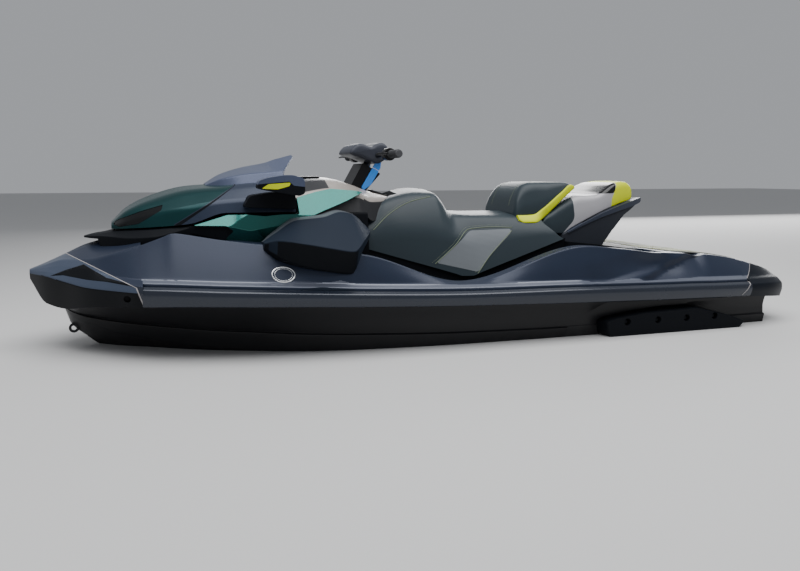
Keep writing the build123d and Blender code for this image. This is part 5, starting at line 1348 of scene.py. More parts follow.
@dataclass
class FrontEnd:
    """Splitter, hood with fairing, lamps, cowl and mirrors, and the side blades."""

    # x, then y and z of foot, flank and edge, centre z
    hood_table: Table = (
        (1404, 64, 485, 62, 497, 44, 507, 512),
        (1346, 128, 489, 130, 515, 95, 555, 569),
        (1242, 205, 497, 190, 545, 130, 600, 621),
        (1107, 272, 511, 255, 575, 165, 640, 657),
        (965, 300, 554, 285, 600, 205, 655, 668),
        (820, 312, 554, 300, 605, 215, 670, 690),
        (690, 315, 554, 303, 605, 215, 670, 695),
    )
    region: Table = ((1165, 509), (921, 662), (921, 900), (1600, 900), (1600, 400), (1165, 400))
    lamp: Table = (
        (1392, 514), (1372, 526), (1290, 558), (1203, 585), (1211, 563), (1300, 508), (1372, 494), (1396, 502),
    )
    # x, then y and z of edge and shelf, centre z, lower z
    splitter_table: Table = (
        (1513, 10, 453, 6, 455, 456, 449),
        (1484, 50, 456, 30, 461, 464, 447),
        (1452, 85, 458, 50, 466, 470, 446),
        (1444, 94, 458, 55, 467, 471, 400),
        (1401, 140, 457, 72, 476, 478, 380),
        (1346, 185, 454, 128, 481, 483, 380),
        (1242, 247, 461, 205, 489, 490, 380),
        (1183, 262, 474, 236, 496, 497, 380),
        (1100, 278, 500, 262, 505, 506, 400),
    )
    # x, then y and z of foot and edge, ridge z
    cowl_table: Table = (
        (1023, 60, 652, 55, 661, 668),
        (959, 140, 655, 120, 688, 706),
        (868, 185, 668, 160, 706, 735),
        (759, 200, 672, 175, 716, 757),
        (722, 196, 690, 172, 720, 770),
        (700, 150, 722, 146, 734, 776),
        (644, 40, 777, 38, 782, 791),
    )
    blade: Table = (
        (1094, 505), (965, 545), (890, 547), (820, 540), (754, 546), (682, 546), (682, 611), (600, 633), (529, 646),
        (422, 637), (392, 630), (474, 596), (609, 546), (695, 517), (757, 489), (818, 449), (823, 430), (924, 432),
        (980, 446), (944, 482), (973, 504),
    )
    inlet: Table = ((1092, 503), (973, 504), (944, 482), (980, 446), (1086, 470), (1160, 484))
    # x, inner y, outer y
    band: Table = (
        (1180, 180, 262), (1094, 220, 300), (965, 270, 338), (820, 275, 352), (690, 270, 355), (529, 235, 322),
        (392, 215, 268), (380, 210, 262),
    )
    # x, z of lower and upper crease
    band_creases: Table = (
        (1179, 462, 500), (1094, 466, 500), (961, 500, 505), (906, 488, 537), (882, 483, 548), (845, 488, 556),
        (779, 498, 560), (717, 504, 560), (680, 524, 542), (615, 541, 545), (506, 581, 585), (417, 619, 623),
        (381, 632, 636),
    )
    stalk: Table = ((906, 576), (880, 622), (800, 634), (700, 640), (690, 566))
    mirror: Table = (
        (857, 652), (850, 680), (820, 692), (760, 702), (729, 702), (685, 688), (683, 632), (706, 622), (833, 645),
    )
    fairing_seam: Table = ((1169, 498), (1165, 506), (921, 660), (914, 669), (907, 669), (1153, 498))
    mirror_lid: Table = ((880, 663), (819, 671), (745, 678), (728, 662), (660, 655), (660, 720), (880, 720))
    mirror_lens: Table = ((842, 650), (819, 668), (740, 674), (744, 661), (787, 648))
    mirror_plan: Table = ((860, 345), (860, 388), (806, 448), (745, 472), (682, 472), (682, 345))

    def hood_section(self, row: Row, inset: float = 0.0, drop: float = 0.0) -> np.ndarray:
        """Section of the hood from a row of its table.

        Args:
            row: a row without its x.
            inset: how far the section is set in from the surface.
            drop: how far its foot is lowered.

        Returns:
            The whole section.
        """
        foot_y, foot_z, flank_y, flank_z, edge_y, edge_z, centre_z = row
        points = (
            (foot_y - inset, foot_z - drop), (flank_y - inset, flank_z - 0.4 * inset),
            (edge_y - 0.6 * inset, edge_z - inset), (0, centre_z - inset),
        )
        ease = min(1.0, foot_y / 220)
        return whole(points, (0, 14 * ease, 34 * ease, 0), 5)

    def hood_form(self, name: str) -> bpy.types.Object:
        """Solid with the hood's whole outer shape."""
        return profile(name, self.hood_table, stations(690, 1404, 20, ((1330, 1404, 10),)), self.hood_section)

    def build_hood(self) -> None:
        """Hood shell, with the painted fairing at its front and the lamps in it."""
        shell, inner = self.hood_form("hood_shell"), stations(810, 1326, 24)
        rows = rows_at(self.hood_table, inner + 20)
        carve(shell, Cut.AWAY, loft("hollow", [ring_at(x, self.hood_section(r, 34, 6)) for x, r in zip(inner, rows)]))
        region, lamp = prism("region", self.region), prism("lamp_block", rounded_loop(self.lamp, 5))
        fairing = carve(duplicate(shell, "fairing"), Cut.INSIDE, duplicate(region, "region"))
        lamps = carve(duplicate(fairing, "lamps"), Cut.INSIDE, duplicate(lamp, "lamp_block"))
        swelled(lamps, -1.6)
        carve(fairing, Cut.AWAY, lamp)
        carve(shell, Cut.AWAY, region)
        form = self.hood_form("hood_all")
        edge = patch("fairing_edge", form, self.fairing_seam, 0.7, 2)
        discard(form)
        dress(shell, Finishes.HOOD, "hood", 30, "hood")
        # the fairing's green is darkened as a painted reflection
        dress(fairing, Finishes.FAIRING_DARK_REFLECTION, "hood", 30, "nose_fairing")
        dress(lamps, Finishes.GLASS, "hood", 30, "lamp_recesses")
        dress(edge, Finishes.BLACK, "hood", 32)

    def splitter_section(self, row: Row) -> np.ndarray:
        """Section of the ledge under the hood."""
        edge_y, edge_z, shelf_y, shelf_z, centre_z, under_z = row
        return whole(((edge_y, under_z), (edge_y, edge_z), (shelf_y, shelf_z), (0, centre_z)), (0, 4, 10, 0))

    def build_splitter(self) -> None:
        """Dark ledge under the hood."""
        ledge = profile("splitter_ledge", self.splitter_table, stations(1100, 1513, 14), self.splitter_section)
        dress(carve(ledge, Cut.AWAY, Topsides().bin_room()), Finishes.BLACK, "boat", 30, "splitter")

    def cowl_section(self, row: Row) -> np.ndarray:
        """Section of the raised cover at the back of the hood."""
        foot_y, foot_z, edge_y, edge_z, ridge_z = row
        return whole(((foot_y, foot_z), (edge_y, edge_z), (0, ridge_z)), (0, 9 * min(1.0, foot_y / 160), 0), 5)

    def build_cowl(self) -> None:
        """Raised cover at the back of the hood."""
        cowl = profile("cowl_cover", self.cowl_table, stations(644, 1023, 12), self.cowl_section)
        dress(cowl, Finishes.COWL, "hood", 26, "cowl")

    def build_mirrors(self) -> None:
        """Mirror caps on their fins, with glasses at the back."""
        stalk, loop = rounded_loop(self.stalk, 14), rounded_loop(self.mirror, (8, 10, 14, 10, 10, 12, 10, 8, 10))
        plan = rounded_loop(self.mirror_plan, (4, 16, 20, 16, 8, 4), 5)
        fins = [bevelled(prism("fin", stalk, "y", 262 * side, 350 * side), 5) for side, _ in SIDES]
        dress(joined("mirror_fins", fins), Finishes.BLACK, "hood", 30, "mirror_stalks")
        glasses, lids, lenses = [], [], []
        for side, label in SIDES:
            cap = prism(f"mirror_cap_{label}", loop, "y", 345 * side, 472 * side)
            carve(cap, Cut.INSIDE, prism("cap_plan", plan * (1, side), "z", 500, 800))
            bevelled(cap, 6, 4, 40)
            carve(cap, Cut.AWAY, block("pocket", (660, 367.5 * side, 640), (689, 445.5 * side, 682)))
            lids.append(patch("lid", cap, self.mirror_lid, 0.6, 4, 340 * side, 477 * side))
            lenses.append(patch("lens", cap, self.mirror_lens, 1.0, 6, 392 * side, 480 * side))
            dress(cap, Finishes.BLACK, "hood", 30, f"mirror_housing_{label}")
            glasses.append(block("glass", (685, 368.5 * side, 641), (689, 444.5 * side, 681), 0.6))
        dress(joined("mirror_lids", lids), Finishes.COWL, "hood", 30)
        dress(joined("mirror_lenses", lenses), Finishes.NEON, "hood", 30)
        dress(joined("mirror_faces", glasses), Finishes.MIRROR, "hood", 30, "mirror_glasses")

    def blade_form(self, name: str, setback: float, creased: bool) -> bpy.types.Object:
        """Upright band beside the hood that blades and inlets are cut from.

        Args:
            name: name of the object.
            setback: how far its outer face is set back.
            creased: shapes the outer face with the blade's creases.

        Returns:
            The port band.
        """
        places = stations(381, 1179, 16)
        rings = []
        rows = zip(places, rows_at(self.band, places), rows_at(self.band_creases, places))
        for x, (inner, edge), (low, high) in rows:
            outer = edge - setback
            loop = np.array(((inner, 425), (outer, 425), (outer, 652), (inner, 652)), float)
            if creased:
                points = (
                    (inner, 425), (outer - 0.5 * (low - 425), 425), (outer - 0.5, low), (outer - 4, high),
                    (outer - 4 - 0.75 * (652 - high), 652), (inner - 30, 652),
                )
                loop = rounded_loop(points, (0, 0, 3, 5, 0, 0), 3)
            rings.append(ring_at(x, loop))
        return loft(name, rings)

    def build_blades(self) -> None:
        """Painted side blades and the dark inlets in front of them."""
        blade = prism("blade_block", rounded_loop(self.blade, 5, 3), "y", 150, 500)
        port = carve(self.blade_form("blade_port", 0.3, True), Cut.INSIDE, blade)
        dress_pair(pair(port), Finishes.GREEN, 20, "side_blade")
        mouth = prism("inlet_block", self.inlet, "y", 150, 500)
        inlets = pair(carve(self.blade_form("inlet_port", 18, False), Cut.INSIDE, mouth))
        dress(joined("inlets", inlets), Finishes.BLACK, "boat", 30, "air_inlets")
        louvres = []
        for side, _ in SIDES:
            slat = block("slat", (-2, -12 * side, -17), (2, 6 * side, 17), 0.8)
            path = ((1010, side * 306, 474), (1098, side * 270, 482))
            louvres.append(repeated("louvres", path, slat, 7, Finishes.BLACK, False))
        dress(joined("inlet_louvres", louvres), Finishes.BLACK, "boat", 30)

    def build(self) -> None:
        """All of it."""
        self.build_splitter()
        self.build_hood()
        self.build_cowl()
        self.build_mirrors()
        self.build_blades()


@dataclass
class Cockpit:
    """Console, gauge, glovebox lid, neck and knee pods."""

    # x, then y and z of foot, flank and edge, centre z
    table: Table = (
        (684, 292, 546, 282, 615, 160, 680, 690),
        (514, 282, 546, 255, 640, 150, 686, 692),
        (399, 266, 546, 235, 625, 140, 658, 664),
        (340, 240, 506, 215, 600, 130, 636, 642),
        (212, 118, 600, 112, 602, 100, 604, 606),
    )
    lid_side: Table = ((312, 633.4), (184, 592.9), (184, 900), (312, 900))
    neck: Table = ((402, 640), (336, 618), (252, 709), (335, 757))
    strip: Table = ((344, 648), (291.5, 736), (263, 719.6), (300, 659), (336, 634))
    strip_top: Table = ((290.5, 738), (276, 762), (251, 765), (255, 733), (262, 721.6))
    # x, then y and z of inner foot, inner top, top edge, outer crease, lower edge
    pod: Table = (
        (848, 380, 400, 392, 442, 430, 446, 484, 444, 470, 420),
        (800, 300, 300, 320, 470, 420, 478, 545, 458, 520, 390),
        (711, 280, 290, 285, 530, 420, 532, 590, 446, 545, 355),
        (600, 280, 290, 285, 542, 405, 542, 596, 425, 552, 330),
        (520, 280, 300, 285, 560, 360, 560, 588, 412, 545, 318),
        (458, 280, 410, 278, 532, 340, 548, 520, 450, 500, 408),
        (402, 268, 440, 268, 478, 320, 500, 410, 474, 400, 450),
    )

    def lid_rooms(self) -> tuple[bpy.types.Object, bpy.types.Object]:
        """Room of the glovebox under its lid, and room in which the lid lies and turns."""
        turning = prism("lid_room", self.lid_side, "y", -106, 106)
        return block("tub_room", (226, -92, 486), (296, 92, 700)), turning

    def console_section(self, row: Row) -> np.ndarray:
        """Section of the console from a row of its table."""
        foot_y, foot_z, flank_y, flank_z, edge_y, edge_z, centre_z = row
        ease = min(1.0, (flank_z - foot_z) / 60 + 0.02)
        points = ((foot_y, foot_z), (flank_y, flank_z), (edge_y, edge_z), (0, centre_z))
        return whole(points, (0, 22 * ease, 26 * ease, 0), 5)

    def build_console(self) -> None:
        """Console body with the gauge in it, and the lid of the glovebox; its upward faces are painted pale as glare.
        """
        body = profile("console_body", self.table, stations(212, 684, 14), self.console_section)
        dress(carve(body, Cut.AWAY, *self.lid_rooms()), Finishes.CONSOLE, "boat", 30, "console")
        # painted highlight: upward faces of the console, pale
        paint(body, Finishes.CONSOLE_TOP_GLARE, lambda c, n: n.z > 0.35 and c.z > 590 and not (c.x > 530 and c.z > 649))
        dress(block("gauge_screen", (536, -84, 688), (636, 84, 697), 3), Finishes.GLASS, "boat", 30, "gauge")
        dress(softened("glovebox_lid", "bin_lid", 2.0), Finishes.CONSOLE, "glovebox_lid", 30, "glovebox_lid")

    def build_neck(self) -> None:
        """Steering neck and its coloured strip."""
        neck = bevelled(prism("neck", rounded_loop(self.neck, 8), "y", -78, 78), 6)
        column = tube("column_room", [(300 + 0.5 * s, 0, 742 - 0.866 * s) for s in (80, -40)], 19, 24)
        dress(carve(neck, Cut.AWAY, column), Finishes.CONTROL, "boat", 30, "steering_neck")
        for name, outline, body, *nodes in (
            ("strip_low", self.strip, "boat", "neck_strip"), ("strip_high", self.strip_top, "steering"),
        ):
            strip = bevelled(prism(name, outline, "y", -85, 85), 2)
            carve(strip, Cut.AWAY, block("neck_room", (240, -77.5, 600), (420, 77.5, 800)))
            dress(strip, Finishes.BLUE, body, 30, *nodes)

    def build_pods(self) -> None:
        """Knee pods, painted black as shade on their under faces and lighter as a highlight on their upper facets."""
        pods = pair(profile(
            "pod_port", self.pod, stations(402, 848, 14),
            lambda row: rounded_loop(np.reshape(row, (5, 2)), (0, 26, 34, 5, 8), 5),
        ))
        dress_pair(pods, Finishes.POD, 24, "knee_pod")
        lines = np.array(self.pod)[::-1].T
        for pod in pods:
            # painted shade: under faces of the pods, black
            paint(pod, Finishes.BLACK, lambda c, n: n.z < -0.25)
            # painted highlight: upward facets of the pods, lighter
            paint(pod, Finishes.POD_TOP_HIGHLIGHT, lambda c, n: n.z > 0.3 and abs(c.y) < np.interp(c.x, lines[0], lines[5]) + 4)

    def build(self) -> None:
        """All of it."""
        self.build_console()
        self.build_neck()
        self.build_pods()


@dataclass
class Steering:
    """Handlebar with pad, grips and controls."""

    pad: Table = (
        (272, 750), (238, 768), (217, 798), (222, 828), (244, 846), (272, 845), (298, 827), (320, 833), (346, 843),
        (374, 836), (397, 814), (403, 797), (386, 788), (352, 782),
    )
    bar: tuple[float, float, float] = (276, 790, 400)
    lever: Table = ((20, 6), (58, 30), (50, 148), (40, 148), (44, 40), (20, 30))

    def build(self) -> None:
        """All of it."""
        x, z, half = self.bar
        end, root, inner = half + 6, half - 112, half - 158
        dress(softened("steering_column", "column", 1.0), Finishes.TUBE, "steering", 30, "steering_column")
        dress(tube("bar", ((x, -half, z), (x, half, z)), 11, 28), Finishes.TUBE, "steering", 30, "handlebar")
        pad = pillow("bar_pad", rounded_loop(self.pad, 14, 5), 108.0, 18, 2)
        dress(pad, Finishes.PAD, "steering", 30, "handlebar_pad")
        circle = [(17 * math.cos(a) - 0.2, 17 * math.sin(a), 0) for a in np.arange(24) * math.pi / 12]
        grips, controls = [], []
        for side, _ in SIDES:
            grip = tube("grip", ((x, side * root, z), (x, side * end, z)), 15.6, 28)
            path = ((x, side * (root + 14), z), (x, side * (end - 14), z))
            rings = repeated("grip_rings", path, tube("ring", circle, 0.8, 6, True), 16, Finishes.RUBBER)
            grips += [bevelled(grip, 3), rings]
            housing = tube("housing", ((x, side * inner, z), (x, side * (inner + 46), z)), 27, 28)
            lever = rounded_loop([(x + a, side * (inner + b)) for a, b in self.lever], 4, 3)
            controls += [bevelled(housing, 4), bevelled(prism("lever", lever, "z", z - 4, z + 4), 1.5)]
        dress(joined("grip_sleeves", grips), Finishes.RUBBER, "steering", 30, "grips")
        dress(joined("control_pods", controls), Finishes.CONTROL, "steering", 30, "controls")


@dataclass
class Seating:
    """Front seat, bolster, rear seat and tail."""

    # x, then y and z of bottom, flank and edge, centre z
    table: Table = (
        (372, 262, 388, 258, 440, 215, 498, 504),
        (278, 262, 360, 252, 450, 188, 585, 600),
        (204, 262, 338, 248, 460, 165, 608, 626),
        (100, 264, 307, 242, 460, 150, 622, 643),
        (14, 266, 281, 238, 446, 141, 618, 635),
        (-18, 266, 271, 237, 438, 139, 592, 606),
        (-45, 267, 263, 236, 430, 139, 550, 564),
        (-76, 267, 253, 235, 424, 145, 526, 540),
        (-122, 268, 252, 234, 412, 158, 520, 534),
        (-170, 268, 268, 234, 405, 165, 518, 532),
        (-363, 268, 332, 238, 432, 168, 516, 531),
        (-502, 266, 378, 245, 442, 176, 504, 520),
        (-600, 262, 410, 250, 440, 180, 490, 505),
    )
    rear_cut: Table = ((-500, 512), (-512, 474), (-566, 422), (-604, 396), (-800, 396), (-800, 700), (-500, 700))
    # x, lower and upper z, lower and upper half width
    bolster: Table = (
        (-377, 507, 521, 150, 146), (-384, 503, 556, 171, 158), (-394, 501, 592, 177, 156), (-406, 500, 618, 178, 153),
        (-420, 497, 641, 178, 150), (-436, 494, 655, 178, 148), (-458, 492, 664, 178, 146), (-482, 496, 668, 178, 145),
        (-510, 508, 669, 177, 145), (-544, 527, 669, 176, 146), (-590, 562, 669, 172, 148), (-640, 601, 668, 166, 148),
        (-672, 627, 664, 160, 146), (-690, 642, 652, 150, 144),
    )
    trim_top: Table = (
        (-386, 514), (-427, 514), (-467, 516), (-521, 545), (-574, 584), (-628, 626), (-672, 658), (-686, 652),
    )
    trim_low: Table = (
        (-386, 492), (-408, 480), (-468, 480), (-522, 498), (-576, 541), (-630, 588), (-672, 623), (-691, 639),
    )
    # x, lower and upper z
    rear: Table = (
        (-516, 477, 481), (-530, 464, 499), (-548, 448, 515), (-569, 428, 530), (-616, 425, 563), (-665, 449, 588),
        (-716, 473, 606), (-770, 497, 604), (-821, 519, 608), (-870, 537, 632), (-915, 551, 656), (-950, 561, 666),
        (-990, 570, 671), (-1022, 576, 667), (-1040, 582, 656), (-1049, 592, 640),
    )
    # line where the bolster's painted shadow on the rear seat ends, as (x, z) points
    shadow_edge: Table = ((-684, 760), (-682, 553), (-688, 493), (-612, 420), (-612, 300))
    pad_edge: Table = ((-956, 760), (-948, 668), (-926, 624), (-904, 590), (-899, 536), (-899, 300))
    insert: Table = ((-806, 613), (-922, 615), (-941, 664), (-944, 720), (-806, 720))
    lip: Table = (
        (-640, 436), (-720, 474), (-821, 519), (-922, 552), (-1040, 580), (-1100, 591), (-1108, 580), (-1092, 565),
        (-1040, 552), (-922, 527), (-821, 500), (-720, 462), (-640, 428),
    )
    base: Table = (
        (-608, 340), (-608, 392), (-616, 424), (-720, 474), (-821, 519), (-922, 553), (-1047, 579), (-1088, 587),
        (-1106, 590), (-1104, 577), (-1058, 553), (-973, 508), (-893, 433), (-836, 366), (-836, 340),
    )
    panel: Table = ((52, 316), (-40, 382), (-129, 452), (-330, 456), (-329, 440), (-209, 334), (-150, 268))
    piping: tuple = (
        ((58, 312), (-40, 386), (-132, 460), (-240, 466), (-340, 462)),
        ((-148, 262), (-209, 334), (-270, 392), (-334, 448)),
        ((340, 468), (258, 534), (137, 588), (40, 606)),
    )
    # number of stitches, then their line
    stitching: tuple = (
        (64, ((70, 318), (-30, 392), (-122, 468), (-240, 475), (-345, 471))),
        (34, ((-138, 268), (-200, 342), (-262, 401), (-324, 456))),
        (46, ((344, 476), (262, 542), (140, 596), (42, 613))),
    )
    bolster_edge: Table = ((-384, 560), (-396, 618), (-420, 650), (-466, 656), (-618, 661), (-742, 657))
    plan: Table = ((-500, 205), (-820, 204), (-910, 192), (-1020, 160), (-1100, 122), (-1124, 90))

    def cushion(self, name: str, table: Table, soft: float) -> bpy.types.Object:
        """Cushion lofted from the front to the back.

        Args:
            name: name of the object.
            table: its x, lower and upper z, lower and upper half width.
            soft: size of the rounding along its upper edges.

        Returns:
            The object, symmetric about the centreline.
        """
        def section(row: Row) -> np.ndarray:
            """Section from a row of the table."""
            low, high, foot, top = row
            points = ((0, low), (foot, low), (foot - 1, low + 0.35 * (high - low)), (top, high), (0, high + 2))
            return whole(points, (0, 7, 30, soft, 0), 6)

        back, front = table[-1][0], table[0][0]
        places = stations(back, front, 12, ((back, back + 30, 4), (front - 30, front, 4)))
        return profile(name, table, places, section)

    def front_section(self, row: Row) -> np.ndarray:
        """Section of the front seat from a row of its table."""
        low_y, low_z, flank_y, flank_z, edge_y, edge_z, centre_z = row
        waist = (0.5 * (flank_y + edge_y) + 9, 0.5 * (flank_z + edge_z))
        points = ((low_y, low_z), (flank_y, flank_z), waist, (edge_y, edge_z), (0, centre_z))
        return whole(points, (0, 40, 40, 42, 0), 6)

    def build_front(self) -> None:
        """Front seat with its piping and textured side panels."""
        places = stations(-600, 372, 14, ((-190, 60, 8),))
        seat = profile("front_cushion", self.table, places, self.front_section)
        carve(seat, Cut.AWAY, prism("rear_cut", self.rear_cut), *Cockpit().lid_rooms())
        panels = patch("seat_panels", seat, self.panel, 0.8, 14)
        dress(seat, Finishes.VINYL, "boat", 30, "front_seat")
        # painted sheen: the dotted panels are lighter than the seat cover
        dress(panels, Finishes.SHEENED_PANEL, "boat", 30)
        pipes, rows = [], []
        for route in self.piping:
            pipes += [tube("pipe", path, 1.7, 8) for path in both_sides(side_trace(seat, route, 0.6))]
        dress(joined("seat_piping_lines", pipes), Finishes.PIPING, "boat", 40)
        for count, route in self.stitching:
            rows += [stitches(path, count) for path in both_sides(side_trace(seat, route, 0.2))]
        dress(joined("seat_stitches", rows), Finishes.THREAD, "boat", 60)

    def build_bolster(self) -> None:
        """Bolster behind the rider, with its bright trim."""
        body = dress(self.cushion("bolster_cushion", self.bolster, 46), Finishes.VINYL, "boat", 30, "bolster")
        rows = []
        for side, _ in SIDES:
            top = []
            for x, z in smooth_path(self.bolster_edge):
                ahead = Vector((x + 540, 0, z - 580))
                top.append(surface_point(body, (3 * ahead.x - 540, side * 92, 3 * ahead.z + 580), -ahead, 0.2))
            rows.append(stitches(np.array(top), 90))
        dress(joined("bolster_stitches", rows), Finishes.THREAD, "boat", 60)
        trim = pair(self.ribbon((bpy.data.objects["front_cushion"], body)))
        dress(joined("bolster_strips", trim), Finishes.NEON, "boat", 30, "bolster_trim")

    def ribbon(self, under: Sequence[bpy.types.Object]) -> bpy.types.Object:
        """Thick rounded trim laid on the port side of some pieces.

        Args:
            under: the pieces.

        Returns:
            The port trim.
        """
        edges = []
        for line in (self.trim_top, self.trim_low):
            path = smooth_path(line, 6)
            reach = np.full(len(path), 172.0)
            for i, (x, z) in enumerate(path):
                for thing in under:
                    hit, place, _, _ = thing.ray_cast(Vector((x, 900, z)) * MM, Vector((0, -1, 0)))
                    reach[i] = max(reach[i], place.y / MM) if hit else reach[i]
            padded = np.pad(reach, 3, mode="edge")
            reach = np.mean([padded[k:k + len(reach)] for k in range(7)], axis=0)
            edges.append(np.column_stack([path[:, 0], reach, path[:, 1]]))
        centre, across = (edges[0] + edges[1]) / 2, (edges[0] - edges[1]) / 2
        turns = np.arange(20) * math.pi / 10
        rings = []
        for i, (middle, half) in enumerate(zip(centre, across)):
            ahead = centre[min(i + 1, len(centre) - 1)] - centre[max(i - 1, 0)]
            out = np.cross(ahead, half)
            out *= np.sign(out[1]) / np.linalg.norm(out)
            wide = np.sign(np.cos(turns)) * np.abs(np.cos(turns)) ** 0.7
            deep = np.sign(np.sin(turns)) * np.abs(np.sin(turns)) ** 0.7
            rings.append(middle + wide[:, None] * half + deep[:, None] * out * 8.0)
        return loft("trim_port", rings)

    def plan_block(self, grow: float) -> bpy.types.Object:
        """Block with the tail's plan, widened on each side."""
        return prism("plan", both_edges(self.plan, grow), "z", 300, 700)

    def build_rear(self) -> None:
        """Rear seat, hump, tail pad and the base under them; the bolster's shadow is painted on the front of the rear
        seat and sunlight on the hump.
        """
        halves = rows_at(self.plan, np.array(self.rear)[:, 0])[:, 0]
        table = [
            (x, low, high, half - 0.1 * (low - 380), half - 0.1 * (high - 380))
            for (x, low, high), half in zip(self.rear, halves)
        ]
        hump = self.cushion("hump_cover", table, 62)
        front = prism("cut", [*rounded(self.shadow_edge, (0, 60, 60, 8, 0), 8), (-300, 300), (-300, 760)])
        back = prism("cut", [*rounded(self.pad_edge, (0, 20, 30, 20, 20, 0), 6), (-1300, 300), (-1300, 760)])
        cushion = carve(duplicate(hump, "rear_cushion"), Cut.INSIDE, duplicate(front, "cut"))
        pad = carve(duplicate(hump, "tail_cushion"), Cut.INSIDE, duplicate(back, "cut"))
        insert = patch("tail_insert", carve(hump, Cut.AWAY, front, back), self.insert, 0.8, 14)
        # painted shadow: the front of the rear seat, in the dark seat vinyl
        dress(cushion, Finishes.VINYL, "rear_seat", 40, "rear_seat")
        # painted sunlight: the rest of the hump, pale grey
        dress(hump, Finishes.TAIL, "rear_seat", 40, "tail_hump")
        dress(pad, Finishes.NEON, "rear_seat", 40, "tail_pad")
        dress(insert, Finishes.GLASS, "rear_seat", 30)
        base = bevelled(carve(prism("base", self.base), Cut.INSIDE, self.plan_block(8)), 3)
        dress(base, Finishes.BASE, "boat", 30, "tail_base")
        lip = prism("tail_lip", rounded_loop(self.lip, 6, 3))
        carve(carve(lip, Cut.INSIDE, self.plan_block(13)), Cut.AWAY, self.plan_block(-20))
        dress(bevelled(lip, 4), Finishes.LIP, "boat", 30)
        under = [*((row[0], row[2]) for row in self.table), *reversed(Topsides().spine)]
        dress(prism("seat_block", under, "y", -256, 256), Finishes.BLACK, "boat", 30, "seat_base")

    def build(self) -> None:
        """All of it."""
        self.build_front()
        self.build_bolster()
        self.build_rear()


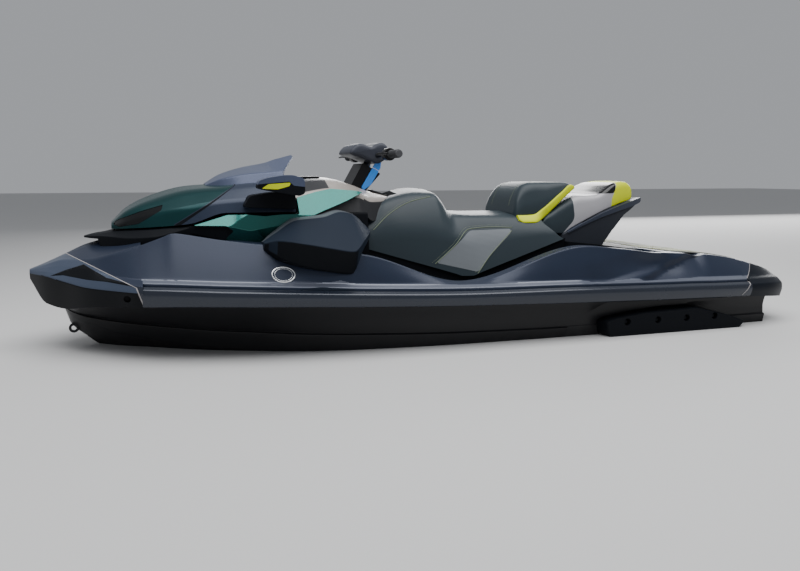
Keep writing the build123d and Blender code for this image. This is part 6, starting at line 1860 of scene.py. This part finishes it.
@dataclass
class Fittings:
    """Mats, sponsons, eyes, bin, engine and jet."""

    sponson: Table = (
        (-604, 66), (-612, 10), (-690, -46), (-1300, -50), (-1380, 28), (-1308, 54), (-1106, 108), (-942, 112),
        (-783, 99), (-639, 80),
    )
    slots: Row = (-720, -880, -1035, -1190)
    mat_plan: Table = ((190, 296), (190, 474), (-830, 456), (-830, 306), (-700, 296))
    rear_mat: Table = ((-1030, 250), (-1090, 420), (-1200, 425), (-1410, 390), (-1533, 364), (-1600, 340))

    def build_sponsons(self) -> None:
        """Sponsons with a lug in each slot."""
        loop, centre = rounded_loop(self.sponson, 12), np.array(self.sponson).mean(axis=0)
        inward = (centre - loop) / np.linalg.norm(centre - loop, axis=1)[:, None]
        rings = []
        for y, inset in ((532, 0.0), (590, 9.0), (598, 12.0), (602, 17.0)):
            flat = loop + inward * inset
            rings.append(np.column_stack([flat[:, 0], np.full(len(flat), y), flat[:, 1]]))
        slots = [tube("slot", ((x, 572, 62), (x, 640, 62)), 16, 24) for x in self.slots]
        fin = carve(loft("fin", rings), Cut.AWAY, *slots)
        lugs = [bevelled(tube("lug", ((x + 3, 570, 62), (x + 3, 594, 62)), 8, 16), 2) for x in self.slots]
        dress_pair(pair(joined("sponson_fin_port", (fin, *lugs))), Finishes.BLACK, 30, "sponson")

    def build_mats(self) -> None:
        """Footwell mats and rear mat."""
        mats, ribs, lines = [], [], []
        for side, _ in SIDES:
            mats.append(prism("mat", rounded_loop(self.mat_plan, 24) * (1, side), "z", 146.2, 151))
            rib, y = block("rib", (-3, -62, -0.8), (3, 62, 1.0), 0.7), side * 382
            ribs.append(repeated("ribs", ((170, y, 151), (-800, y, 151)), rib, 62, Finishes.MAT, False))
        dress(joined("well_mats", mats), Finishes.MAT, "boat", 30, "footwell_mats")
        dress(joined("well_mat_ribs", ribs), Finishes.MAT, "boat", 30)
        places = stations(-1600, -1030, 16)
        tops, halves = rows_at((*SHEER, *STERN), places)[:, 4], rows_at(self.rear_mat, places)[:, 0]
        rings = []
        for x, top, half in zip(places, tops, halves):
            upper = top + 5
            ring = ((half, top), (half, upper), (0, upper), (-half, upper), (-half, top), (0, top))
            rings.append(ring_at(x, np.array(ring)))
        dress(loft("platform_mat", rings), Finishes.MAT, "boat", 30, "rear_mat")
        for share in (0.93, 0.72, 0.36):
            for side, _ in SIDES:
                bars = []
                for x, top, half in zip(places, tops, halves):
                    a, b = sorted((side * share * half, side * (share * half - 8)))
                    low, high = top + 1.6, top + 5.6
                    bars.append(ring_at(x, np.array([(a, low), (b, low), (b, high), (a, high)])))
                lines.append(loft("line", bars))
        dress(joined("mat_lines", lines), Finishes.MAT_LINE, "boat", 30)

    def build_hardware(self) -> None:
        """Pieces that keep their solids' shapes with eased edges."""
        for node, name, finish, body, width in (
            ("bow_eye", "bow_ring", Finishes.DARK_STEEL, "boat", 1.5),
            ("stern_eyes", "stern_rings", Finishes.STEEL, "boat", 1.5),
            ("storage_bin", "bin", Finishes.BIN, "boat", 2.0),
            ("engine_block", "engine", Finishes.ENGINE, "boat", 6.0),
            ("pump_housing", "pump", Finishes.JET, "boat", 1.0),
            ("ride_plate", "plate", Finishes.JET, "boat", 2.0),
            ("intake_grate", "grate", Finishes.JET, "boat", 1.0),
            ("impeller", "blades", Finishes.STEEL, "impeller", 0.0),
            ("trim_ring", "ring", Finishes.JET, "trim_ring", 1.0),
            ("steering_nozzle", "jet_nozzle", Finishes.JET, "nozzle", 1.0),
            ("reverse_bucket", "jet_bucket", Finishes.JET, "bucket", 1.5),
        ):
            dress(softened(node, name, width), finish, body, 30, node)

    def build(self) -> None:
        """All of it."""
        self.build_sponsons()
        self.build_mats()
        self.build_hardware()


@dataclass
class Studio:
    """Floor, light and camera."""

    eye: Row = (1.326, 3.458, 0.703)
    yaw: float = 19.03
    pitch: float = 8.09

    def build(self) -> None:
        """Pale floor at the waterline, soft light from above and the camera."""
        scene = bpy.context.scene
        floor = mesh_object("floor", [(-30, -30, 0), (30, -30, 0), (30, 30, 0), (-30, 30, 0)], [(0, 1, 2, 3)])
        paper = bpy.data.materials.new("floor_paper")
        world = bpy.data.worlds.new("studio")
        paper.use_nodes = world.use_nodes = True
        shader, back = paper.node_tree.nodes["Principled BSDF"], world.node_tree.nodes["Background"]
        shader.inputs["Base Color"].default_value = GREY
        shader.inputs["Roughness"].default_value = 0.9
        back.inputs["Color"].default_value = (0.92, 0.95, 1.0, 1.0)
        back.inputs["Strength"].default_value = 0.4
        scene.world = world
        floor.data.materials.append(paper)
        for name, place, aim, size, power in (
            ("over", (0.2, 1.4, 4.4), (0.0, 0.0, -1.0), (7.0, 4.4), 420.0),
            ("far", (-6.4, -7.0, 2.6), (0.0, 1.0, -0.3), (11.0, 3.6), 760.0),
        ):
            lamp = bpy.data.lights.new(name, "AREA")
            lamp.shape, lamp.energy = "RECTANGLE", power
            lamp.size, lamp.size_y = size
            thing = linked(name, lamp)
            thing.location = place
            thing.rotation_euler = Vector(aim).to_track_quat("-Z", "Y").to_euler()
            thing.visible_camera = False
        lens = bpy.data.cameras.new("view")
        lens.lens, lens.sensor_width = 35.0, 36.0
        view = scene.camera = linked("view", lens)
        view.location = self.eye
        yaw, pitch = math.radians(self.yaw), math.radians(self.pitch)
        ahead = Vector((-math.sin(yaw) * math.cos(pitch), -math.cos(yaw) * math.cos(pitch), -math.sin(pitch)))
        view.rotation_euler = ahead.to_track_quat("-Z", "Y").to_euler()


def main() -> None:
    """Builds everything in order."""
    logging.basicConfig(level=logging.INFO, format="%(message)s")
    for assembly in (Topsides, FrontEnd, Cockpit, Steering, Seating, Fittings, Studio):
        assembly().build()


if __name__ == "__main__":
    main()
